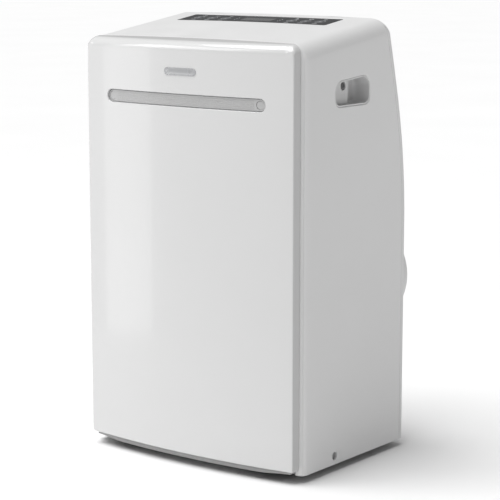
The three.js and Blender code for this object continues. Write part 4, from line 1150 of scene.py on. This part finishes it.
def exhaust_flange():
    b = Builder()
    bore, spigot = 66.0, FLANGE_RADIUS - 12.4
    back = flange_high.y
    profile = fillet_profile(
        [(bore, BACK_Y - WALL), (spigot, BACK_Y - WALL), (spigot, BACK_Y + GAP), (bore, BACK_Y + GAP)], 0.2, 2
    )
    b.lathe(profile, Vector((EXHAUST.x, 0, EXHAUST.z)), "y", 96)
    ring = fillet_profile(
        [(bore, BACK_Y + GAP), (FLANGE_RADIUS, BACK_Y + GAP), (FLANGE_RADIUS, back), (bore, back)],
        [0.3, 0.6, 7.5, 1.4], 8,
    )
    b.lathe(ring, Vector((EXHAUST.x, 0, EXHAUST.z)), "y", 128)
    return b


def hose_collar():
    b = Builder()
    centre = Vector((EXHAUST.x, 0, EXHAUST.z))
    outer, inner, ring = 65.4, 61.4, 71.4
    front, back = collar_low.y, collar_high.y
    grip0, grip1 = flange_high.y + 2.4, flange_high.y + 10.0
    profile = fillet_profile([(inner, front), (outer, front), (outer, back), (inner, back)], [0.6, 0.6, 1.6, 1.0], 5)
    b.lathe(profile, centre, "y", 128)
    grip = fillet_profile([(outer - 0.8, grip0), (ring - 1.6, grip0), (ring - 1.6, grip1), (outer - 0.8, grip1)],
                          [0.2, 1.5, 1.5, 0.2], 5)
    b.lathe(grip, centre, "y", 128)
    for k in range(40):
        a = 2 * math.pi * k / 40
        out = Vector((math.cos(a), 0, math.sin(a)))
        round_about = Vector((-math.sin(a), 0, math.cos(a)))
        section = rounded_bar_section(3.0, 2.2, 1.0, (round_about, out), 3)
        middle = centre + out * (ring - 1.2)
        b.bar(section, middle + Vector((0, grip0 + 0.9, 0)), middle + Vector((0, grip1 - 0.9, 0)))
    for k in range(3):
        a = 2 * math.pi * (k + 0.25) / 3
        out = Vector((math.cos(a), 0, math.sin(a)))
        round_about = Vector((-math.sin(a), 0, math.cos(a)))
        section = rounded_bar_section(9.0, 1.8, 0.6, (round_about, out), 3)
        middle = centre + out * (outer + 0.1)
        b.bar(section, middle + Vector((0, back - 11.0, 0)), middle + Vector((0, back - 5.0, 0)))
    return b


def cord_gland():
    b = Builder()
    bore, radius = 3.6, 8.0
    profile = fillet_profile(
        [(bore, gland_low.y), (radius, gland_low.y), (radius, BACK_Y + GAP), (bore, BACK_Y + GAP)], 0.3, 2
    )
    b.lathe(profile, Vector((GLAND.x, 0, GLAND.z)), "y", 40)
    nut = fillet_profile(
        [(bore, BACK_Y + GAP), (radius + 3, BACK_Y + GAP), (radius + 2.4, BACK_Y + 5), (bore + 2.6, gland_high.y),
         (bore, gland_high.y)],
        [0.1, 0.6, 1.6, 1.0, 0.4], 5,
    )
    b.lathe(nut, Vector((GLAND.x, 0, GLAND.z)), "y", 48)
    return b


def drain_cap():
    b = Builder()
    centre = Vector((DRAIN.x, 0, DRAIN.z))
    radius, back, front = 8.2, drain_high.y, drain_low.y
    nozzle, floor = 6.4, BACK_Y + 7.0
    profile = [(nozzle, front), (radius - 0.4, front), (radius, front + 0.5), (radius, back - 1.6)]
    profile += [(radius - 1.6 * (1 - math.cos(a)), back - 1.6 * (1 - math.sin(a))) for a in quarter(5)[1:]]
    profile += [(2.4, back), (1.8, back - 0.8), (0.001, back - 0.9)]
    b.lathe(profile, centre, "y", 56, closed=False)
    b.lathe([(nozzle, front), (nozzle, floor - 0.4), (nozzle - 0.4, floor), (0.001, floor)], centre, "y", 56, closed=False)
    for k in range(24):
        a = 2 * math.pi * k / 24
        out = Vector((math.cos(a), 0, math.sin(a)))
        round_about = Vector((-math.sin(a), 0, math.cos(a)))
        section = rounded_bar_section(1.1, 1.6, 0.5, (round_about, out), 3)
        middle = centre + out * (radius - 0.02)
        b.bar(section, middle + Vector((0, front + 1.2, 0)), middle + Vector((0, back - 1.8, 0)))
    return b


def filter_net():
    """Fine net stretched over the filter frame, as crossed threads."""
    low, high = box_mm("air_filter")
    b = Builder()
    lean = math.atan2(rear_y(low.z + 8) - rear_y(high.z - 14), high.z - low.z - 22)
    along = Vector((0, -math.sin(lean), math.cos(lean)))
    out = Vector((0, math.cos(lean), math.sin(lean)))
    reach = high.x - 6.0
    length = (high.z - low.z) / math.cos(lean) - 8.0
    start = Vector((0.0, high.y - 2.2, low.z + 3.0))
    for k in range(int(reach * 2 / 5) + 1):
        x = -reach + k * 5.0
        section = rounded_bar_section(0.5, 0.5, 0.2, (Vector((1, 0, 0)), out), 1)
        b.bar(section, start + Vector((x, 0, 0)), start + Vector((x, 0, 0)) + along * length)
    for k in range(int(length / 5) + 1):
        centre = start + along * (k * 5.0) - out * 0.35
        section = rounded_bar_section(0.5, 0.5, 0.2, (along, out), 1)
        b.bar(section, centre + Vector((-reach, 0, 0)), centre + Vector((reach, 0, 0)))
    return b


make("rear_cover_skin", rear_cover(), MATERIALS["rear_white"], "cabinet", ("rear_cover",))
make("intake_grille_slats", intake_grille(), MATERIALS["rear_white"], "filter_door", ("intake_grille",))
make("condenser_grille_slats", condenser_grille(), MATERIALS["rear_white"], "cabinet", ("condenser_grille",))
make("exhaust_flange_ring", exhaust_flange(), MATERIALS["rear_white"], "cabinet", ("exhaust_flange",))
make("hose_collar_ring", hose_collar(), MATERIALS["grey_plastic"], "exhaust_collar", ("hose_collar",))
make("cord_gland_nut", cord_gland(), MATERIALS["castor_black"], "cabinet", ("cord_gland",))
make("drain_cap_ribbed", drain_cap(), MATERIALS["castor_black"], "drain_plug", ("drain_cap",))
make("filter_net", filter_net(), MATERIALS["filter_mesh"], "filter_door")

# ---------------------------------------------------------------- control strip

panel_box_low, panel_box_high = box_mm("control_panel")
CONTROL_TURN = Matrix.Translation((0.0, CONTROL_Y, 756.0 + TOP_SLOPE * CONTROL_Y)) @ Matrix.Rotation(TOP_TILT, 4, "X")
CONTROL_SINK = 2.5
DISPLAY_HALF, DISPLAY_RISE = 34.0, 12.0
button_boxes = [box_mm(f"button_{i}") for i in range(1, 7)]
BUTTON_XS = [(low.x + high.x) / 2 for low, high in button_boxes]


def flat_at(height):
    """Places a flat point on the strip's own level plane, at a height above its top surface."""
    return lambda p, depth=0.0: Vector((p[0], p[1], height - depth))


def moved_out(points):
    """Any closed outline, given anticlockwise, as a function of how far it is grown."""

    def grown(grow=0.0):
        result = []
        for i, point in enumerate(points):
            before = (Vector(point) - Vector(points[i - 1])).normalized()
            after = (Vector(points[(i + 1) % len(points)]) - Vector(point)).normalized()
            n1, n2 = Vector((before.y, -before.x)), Vector((after.y, -after.x))
            result.append(tuple(Vector(point) + (n1 + n2) / (1 + n1.dot(n2)) * grow))
        return result

    return grown


def mark(b, kind, x, y, height, size):
    """One generic printed sign, a little proud of the surface."""
    place = flat_at(height + 0.12)

    def stroke(x0, x1, y0, y1, radius=0.25):
        b.plate(rectangle(x + x0 * size, x + x1 * size, y + y0 * size, y + y1 * size, radius, 3), [], place, 0.2, 0.05)

    if kind == "bar":
        stroke(-1.0, 1.0, -0.16, 0.16)
    elif kind == "cross":
        stroke(-1.0, 1.0, -0.16, 0.16)
        stroke(-0.16, 0.16, 0.22, 1.0)
        stroke(-0.16, 0.16, -1.0, -0.22)
    elif kind == "ring":
        b.plate(circle(x, y, size, 28), [circle(x, y, size * 0.66, 28)], place, 0.2, 0.05)
    elif kind == "dots":
        for k in (-1, 0, 1):
            b.plate(circle(x + k * size * 0.75, y, size * 0.26, 16), [], place, 0.2, 0.05)
    elif kind == "wedge":
        b.plate(outline([(x - size, y - size * 0.7), (x + size, y - size * 0.7), (x, y + size)], 0.3, 3), [], place, 0.2, 0.05)
    elif kind == "steps":
        for k in range(3):
            stroke(-0.9 + k * 0.65, -0.5 + k * 0.65, -0.8, -0.3 + k * 0.5)


def control_panel():
    b = Builder()
    reach = CONTROL_REACH - GAP
    half = CONTROL_HALF - GAP
    outer = guided(rectangle(-half, half, -reach, reach, 3.6, 6))
    window = guided(rectangle(-DISPLAY_HALF, DISPLAY_HALF, -DISPLAY_RISE, DISPLAY_RISE, 2.4, 5))
    holes = [circle(x, 0.0, 7.4, 36) for x in BUTTON_XS]
    b.plate(outer, [window, *holes], flat_at(-CONTROL_SINK), 5.5, 0.5, (9.0, 9.0), hole_edge=0.3)
    flange = guided(rectangle(-half - 6, half + 6, -reach - 6, reach + 6, 6.0, 6))
    b.plate(flange, [], flat_at(-8.0), 2.0, 0.4, (20.0, 20.0))
    b.tone = 1
    for x in BUTTON_XS:
        b.plate(circle(x, 0.0, 9.3, 40), [circle(x, 0.0, 8.8, 40)], flat_at(0.12 - CONTROL_SINK), 0.2, 0.05)
    for i, x in enumerate((-47.0, 47.0)):
        for k in range(3):
            b.plate(circle(x, (k - 1) * 7.0, 1.3, 20), [], flat_at(0.15 - CONTROL_SINK), 0.2, 0.05)
    for i, x in enumerate(BUTTON_XS):
        mark(b, ("steps", "dots", "bar", "wedge", "ring", "cross")[i], x, 17.5, -CONTROL_SINK, 4.0)
        mark(b, "bar", x, -17.5, -CONTROL_SINK, 5.0)
    return b


def display_window():
    b = Builder()
    half, rise = DISPLAY_HALF - GAP, DISPLAY_RISE - GAP
    top = 0.2 - CONTROL_SINK
    b.plate(guided(rectangle(-half, half, -rise, rise, 2.0, 6)), [], flat_at(top), 1.8, 0.4, (6.0, 6.0))
    b.tone = 1
    for digit in (-7.0, 7.0):
        for dx, dy, flat in ((0, 7, 1), (0, 0, 1), (0, -7, 1), (-4, 3.5, 0), (4, 3.5, 0), (-4, -3.5, 0), (4, -3.5, 0)):
            w, h = (2.9, 0.55) if flat else (0.55, 2.6)
            shape = rectangle(digit + dx - w, digit + dx + w, dy - h, dy + h, 0.4, 2)
            b.plate(shape, [], flat_at(top + 0.04), 0.1, 0.02)
    return b


def button(index):
    b = Builder()
    x = BUTTON_XS[index]
    top, radius, flange = 0.8 - CONTROL_SINK, 7.0, 8.6
    shelf = -CONTROL_SINK - 2.4
    profile = [(0.001, shelf - 1.5), (flange - 0.3, shelf - 1.5), (flange, shelf - 1.2), (flange, shelf - 0.3)]
    profile += [(flange - 0.3, shelf), (radius, shelf), (radius, top - 0.9)]
    profile += [(radius - 0.9 * (1 - math.cos(a)), top - 0.9 * (1 - math.sin(a))) for a in quarter(4)[1:]]
    profile += [(r, top - 0.5 * (1 - (r / 6.0) ** 2)) for r in (5.4, 4.4, 3.2, 1.8, 0.8)]
    profile.append((0.001, top - 0.5))
    b.lathe(profile, Vector((x, 0, 0)), "z", 48, closed=False)
    b.tone = 1
    mark(b, ("ring", "cross", "bar", "bar", "cross", "ring")[index], x, 0.0, top - 0.42, 2.1)
    return b


PRINT = moulded("print_pale", (0.55, 0.56, 0.57), 0.5, 900.0, 0.00001, 0.1, variation=0.04)
GHOST = moulded("display_segments", (0.10, 0.105, 0.11), 0.3, 900.0, 0.00001, 0.1, variation=0.04)

make("control_strip", control_panel(), MATERIALS["control_dark"], "cabinet", ("control_panel",),
     second=PRINT, turn=CONTROL_TURN)
make("display_glass_window", display_window(), MATERIALS["display_glass"], "cabinet",
     ("display_window",), second=GHOST, turn=CONTROL_TURN)
for i in range(6):
    make(f"push_button_cap_{i + 1}", button(i), MATERIALS["button_dark"], f"push_button_{i + 1}",
         (f"button_{i + 1}",), second=PRINT, turn=CONTROL_TURN)

# ---------------------------------------------------------------- handles and screws

CUP_DEPTH, CUP_SHELF, CUP_STEP_Y = 34.0, 12.0, -22.0
handle_screw_low, handle_screw_high = box_mm("right_handle_screw")
HANDLE_SCREW_Y = (handle_screw_low.y + handle_screw_high.y) / 2
HANDLE_SCREW_Z = (handle_screw_low.z + handle_screw_high.z) / 2


def split_at(loop, y):
    """The loop with a point added wherever one of its sides crosses y."""
    result = []
    for i, a in enumerate(loop):
        b = loop[(i + 1) % len(loop)]
        result.append(a)
        if (a[0] - y) * (b[0] - y) < 0:
            t = (y - a[0]) / (b[0] - a[0])
            result.append((y, a[1] + (b[1] - a[1]) * t))
    return result


def handle_cup(side):
    """Finger cup: a shallow shelf with the screw hole in front and a deep pocket behind."""
    b = Builder()
    wall, rim, floor, fillet = 2.6, 0.8, CUP_DEPTH - 2.4, 7.0

    def put(p, depth):
        return Vector((side * (HALF - depth), p[0], p[1]))

    def ring(grow, depth):
        return [put(p, depth) for p in split_at(HANDLE(grow), CUP_STEP_Y)]

    rings = [ring(-GAP, CUP_DEPTH), ring(-GAP, rim + 0.6)]
    rings += [ring(-GAP - 0.6 * (1 - math.cos(a)), rim + 0.6 * (1 - math.sin(a))) for a in quarter(3)[1:]]
    rings += [ring(-GAP - wall + 1.2 * math.cos(a), rim + 1.2 * (1 - math.sin(a))) for a in reversed(quarter(4))]
    rings.append(ring(-GAP - wall, CUP_SHELF))
    b.bridge(rings)
    inner = split_at(HANDLE(-GAP - wall), CUP_STEP_Y)
    shelf = [p for p in inner if p[0] <= CUP_STEP_Y + 1e-6]
    pocket = [p for p in inner if p[0] >= CUP_STEP_Y - 1e-6]
    start = next(i for i, p in enumerate(pocket) if p[0] < CUP_STEP_Y + 1e-6 and p[1] < HANDLE_LOW + 20)
    pocket = pocket[start:] + pocket[:start]
    hole = circle(HANDLE_SCREW_Y, HANDLE_SCREW_Z, 7.2, 32)
    b.fill(shelf, [hole(0.6)], lambda p: put(p, CUP_SHELF), (5.0, 5.0))
    rings = [[put(p, CUP_SHELF) for p in pocket]]
    for a in quarter(6):
        inward = fillet * (1 - math.cos(a))
        loop = moved_out(pocket)(-inward)
        rings.append([put(p, floor - fillet * (1 - math.sin(a))) for p in loop])
    b.bridge(rings)
    b.fill(moved_out(pocket)(-fillet), [], lambda p: put(p, floor), (6.0, 6.0))
    rings = [[put(p, CUP_SHELF + 0.6 * (1 - math.cos(a))) for p in hole(0.6 * (1 - math.sin(a)))] for a in quarter(3)]
    rings.append([put(p, CUP_SHELF + 4.0) for p in hole(0.0)])
    b.bridge(rings)
    b.fill(hole(0.0), [], lambda p: put(p, CUP_SHELF + 4.0), (3.0, 3.0))
    b.fill(split_at(HANDLE(-GAP), CUP_STEP_Y), [], lambda p: put(p, CUP_DEPTH), (10.0, 10.0))
    return b


def screw(side, face, y, z):
    """Pan-head screw with a cross recess, its face at a depth below the side."""
    b = Builder()

    def put(p, depth=0.0):
        return Vector((side * (HALF - face - depth), y + p[0], z + p[1]))

    def cross(grow=0.0):
        w, r = 0.62 + grow, 3.1 + grow
        return [(w, w), (w, r), (-w, r), (-w, w), (-r, w), (-r, -w), (-w, -w), (-w, -r), (w, -r), (w, -w), (r, -w), (r, w)]

    head = circle(0, 0, 5.4, 40)
    angles = quarter(4)
    b.bridge([[put(p, 1.1 * (1 - math.cos(a))) for p in head(-1.1 * (1 - math.sin(a)))] for a in angles]
             + [[put(p, 2.4) for p in head()]])
    b.fill(head(-1.1), [cross(0.12)], put, (2.0, 2.0))
    b.bridge([[put(p, 0.0) for p in cross(0.12)], [put(p, 0.12) for p in cross()], [put(p, 1.5) for p in cross()]])
    b.fill(cross(), [], lambda p: put(p, 1.5))
    b.fill(head(), [], lambda p: put(p, 2.4), (3.0, 3.0))
    shank = [(0.001, 2.4), (2.2, 2.4), (2.2, 12.6), (1.2, 14.0), (0.001, 14.0)]
    profile = [(r, -side * (face + h) + side * HALF) for r, h in shank]
    b.lathe(profile, Vector((0.0, y, z)), "x", 20, closed=False)
    return b


def screw_recess(side):
    """Cup moulded behind the lower side hole, which the screw's head sits in."""
    b = Builder()
    cup = [(7.5, 2.9), (8.7, 2.9), (8.7, 8.4), (2.6, 8.4), (2.6, 7.4), (7.5, 7.4)]
    b.lathe([(r, side * (HALF - h)) for r, h in cup], Vector((0.0, SIDE_SCREW_Y, SIDE_SCREW_Z)), "x", 40)
    return b


for name, side in (("left", -1), ("right", 1)):
    make(f"{name}_finger_cup", handle_cup(side), CUP_GREY, "cabinet",
         (f"{name}_handle_cup",))
    make(f"{name}_handle_screw_head", screw(side, 12.4, HANDLE_SCREW_Y, HANDLE_SCREW_Z), MATERIALS["black_steel"],
         "cabinet", (f"{name}_handle_screw",))
    make(f"{name}_side_screw_head", screw(side, 5.0, SIDE_SCREW_Y, SIDE_SCREW_Z), MATERIALS["bright_steel"],
         "cabinet", (f"{name}_side_screw",))
    make(f"{name}_screw_recess", screw_recess(side), CUP_GREY, "cabinet")

# ---------------------------------------------------------------- base and castors

CORNERS = ("front_left", "front_right", "rear_left", "rear_right")
WELL_RADIUS, WELL_TOP = 32.0, 46.0
PLINTH_TAPER_X = 150.0
UPSTAND_TOP, UPSTAND_BREAK = 45.0, 29.6


def castor_place(corner):
    low, high = box_mm(f"{corner}_castor_wheel")
    middle = (low + high) / 2
    return middle.x, middle.y - 10.0


def base_tray():
    b = Builder()
    half = HALF - WALL - GAP
    front, back = SEAM_Y + WALL + GAP, BACK_Y - WALL - GAP
    places = [castor_place(corner) for corner in CORNERS]
    wells = [circle(x, y, WELL_RADIUS, 64) for x, y in places]
    reach, inset, count = HALF - 16.4, 7.0, 48
    bow = [(x, bow_y(x) + inset) for x in (reach * (2 * k / count - 1) for k in range(count + 1))]
    sides = [(reach, front), (half, front), (half, back), (-half, back), (-half, front), (-reach, front)]
    floor = guided(moved_out(bow + sides), 16.0)
    thick = 6.0
    b.plate(floor, wells, lambda p, depth: Vector((p[0], p[1], BOTTOM + depth)), thick, 0.8, (18.0, 18.0), hole_edge=1.2)
    # plinth under the front panel, with a notch round each front well
    notch = WELL_RADIUS + WALL - 0.5
    line = front + 2.0
    bend = math.asin((line - places[0][1]) / notch)
    arcs = []
    for x, y in (places[1], places[0]):
        for k in range(17):
            angle = bend - (math.pi + 2 * bend) * k / 16
            arcs.append((x + notch * math.cos(angle), y + notch * math.sin(angle)))
    bow_top = [(x, y + 0.4) for x, y in bow]
    step = guided(moved_out(bow_top + [(reach, line), *arcs, (-reach, line)]), 16.0)
    top = PANEL_BOTTOM - GAP
    b.plate(step, [], lambda p, depth: Vector((p[0], p[1], top - depth)), top - BOTTOM - thick + 0.2, 0.5, (18.0, 18.0))
    for v in b.bm.verts:
        if v.co.y < front - 1.0 and abs(v.co.x) > PLINTH_TAPER_X:
            rise = 0.5 * smooth((abs(v.co.x) - PLINTH_TAPER_X) / (reach - PLINTH_TAPER_X))
            v.co.z += (top - v.co.z) * rise
    for x, y in places:
        inner, outer = WELL_RADIUS, WELL_RADIUS + WALL
        profile = [(inner, BOTTOM + 5), (inner, WELL_TOP - 4)]
        profile += [(inner - 4 * (1 - math.cos(a)), WELL_TOP - 4 * (1 - math.sin(a))) for a in quarter(5)[1:]]
        profile += [(4.4, WELL_TOP), (4.4, WELL_TOP + 4), (outer - 6, WELL_TOP + 4)]
        profile += [(outer - 6 * math.sin(a), WELL_TOP + 4 - 6 * (1 - math.cos(a))) for a in reversed(quarter(5)[:-1])]
        profile += [(outer, BOTTOM + 5)]
        b.lathe(profile, Vector((x, y, 0)), "z", 64)
    # upstand, broken where the front wells and the side screws stand
    far, near = places[1][0] + UPSTAND_BREAK, places[1][0] - UPSTAND_BREAK
    deep, rear, wide = front + WALL, back - WALL, half - WALL
    before, after = SIDE_SCREW_Y - 9.5, SIDE_SCREW_Y + 9.5
    behind = [
        (-wide, after), (-wide, rear), (wide, rear), (wide, after),
        (half, after), (half, back), (-half, back), (-half, after),
    ]
    left = [(-far, front), (-far, deep), (-wide, deep), (-wide, before), (-half, before), (-half, front)]
    right = [(-x, y) for x, y in reversed(left)]
    middle = [(-near, front), (near, front), (near, deep), (-near, deep)]
    height = UPSTAND_TOP - BOTTOM - thick + 0.5
    for points in (behind, left, right, middle):
        b.plate(
            guided(moved_out(points), 16.0), [], lambda p, depth: Vector((p[0], p[1], UPSTAND_TOP - depth)),
            height, 0.6, (18.0, 18.0),
        )
    nozzle = [(3.5, back - 1), (6.0, back - 1), (6.0, BACK_Y + 5.4), (5.4, BACK_Y + 6), (3.5, BACK_Y + 6)]
    b.lathe(nozzle, Vector((DRAIN.x, 0, DRAIN.z)), "y", 40)
    return b


def castor_fork(corner):
    x, y = castor_place(corner)
    b = Builder()
    crown = fillet_profile([(3.0, 41.0), (13.0, 41.0), (13.0, 45.0), (3.0, 45.0)], [0.2, 1.2, 1.2, 0.2], 4)
    b.lathe(crown, Vector((x, y, 0)), "z", 48)
    stem = [(0.001, 42.0), (4.0, 42.0), (4.0, 51.0), (6.3, 51.0), (6.5, 51.3), (6.5, 55.0), (5.5, 56.0), (0.001, 56.0)]
    b.lathe(stem, Vector((x, y, 0)), "z", 40, closed=False)
    for side in (-1, 1):
        cheek = outline([(y - 7.0, 42.5), (y + 4.0, 14.5), (y + 15.0, 14.5), (y + 13.0, 42.5)], [1.5, 6.0, 5.6, 1.5], 8)
        b.plate(cheek, [], lambda p, depth: Vector((x + side * (11.2 - depth), p[0], p[1])), 2.4, 0.7, (5.0, 5.0))
        cap = circle(y + 10.0, 19.0, 3.4, 28)
        b.plate(cap, [], lambda p, depth: Vector((x + side * (12.0 - depth), p[0], p[1])), 1.0, 0.4, (3.0, 3.0))
    axle = [(0.001, -11.0), (2.4, -11.0), (2.4, 11.0), (0.001, 11.0)]
    b.lathe([(r, x + h) for r, h in axle], Vector((0, y + 10.0, 19.0)), "x", 28, closed=False)
    return b


def castor_wheel(corner):
    x, y = castor_place(corner)
    b = Builder()
    centre = Vector((0, y + 10.0, 19.0))
    hub = fillet_profile(
        [(2.7, -7.6), (6.4, -7.6), (7.4, -4.0), (13.0, -4.0), (13.0, 4.0), (7.4, 4.0), (6.4, 7.6), (2.7, 7.6)],
        [0.3, 0.9, 0.2, 0.2, 0.2, 0.2, 0.9, 0.3], 3,
    )
    hub = [(2.7, -7.2), (3.1, -7.6), (5.8, -7.6), (6.4, -7.0), (7.2, -4.6), (8.0, -4.0), (13.4, -4.0)]
    hub += [(r, -h) for r, h in reversed(hub)]
    b.lathe([(r, x + h) for r, h in hub], centre, "x", 64)
    for k in range(6):
        a = 2 * math.pi * k / 6
        out = Vector((0, math.cos(a), math.sin(a)))
        about = Vector((0, -math.sin(a), math.cos(a)))
        section = rounded_bar_section(12.4, 1.6, 0.5, (Vector((1, 0, 0)), about), 3)
        b.bar(section, centre + Vector((x, 0, 0)) + out * 6.2, centre + Vector((x, 0, 0)) + out * 13.2)
    b.tone = 1
    tyre = [(13.0, -7.2), (13.6, -7.8), (14.4, -8.0), (17.0, -8.0)]
    tyre += [(17.0 + 2.0 * math.sin(a), -8.0 + 2.0 * (1 - math.cos(a))) for a in quarter(5)[1:]]
    tyre += [(18.85, -2.2), (18.35, -1.8), (18.35, 1.8), (18.85, 2.2)]
    tyre += [(r, -h) for r, h in reversed(tyre[: len(tyre) - 4])]
    b.lathe([(r, x + h) for r, h in tyre], centre, "x", 96)
    return b


make("base_pan", base_tray(), MATERIALS["inner_dark"], "cabinet", ("base_tray",))
for corner in CORNERS:
    make(f"{corner}_fork", castor_fork(corner), MATERIALS["castor_black"], f"{corner}_swivel",
         (f"{corner}_castor_fork",))
    make(f"{corner}_wheel", castor_wheel(corner), MATERIALS["castor_black"], f"{corner}_roller",
         (f"{corner}_castor_wheel",), second=MATERIALS["castor_tyre"])
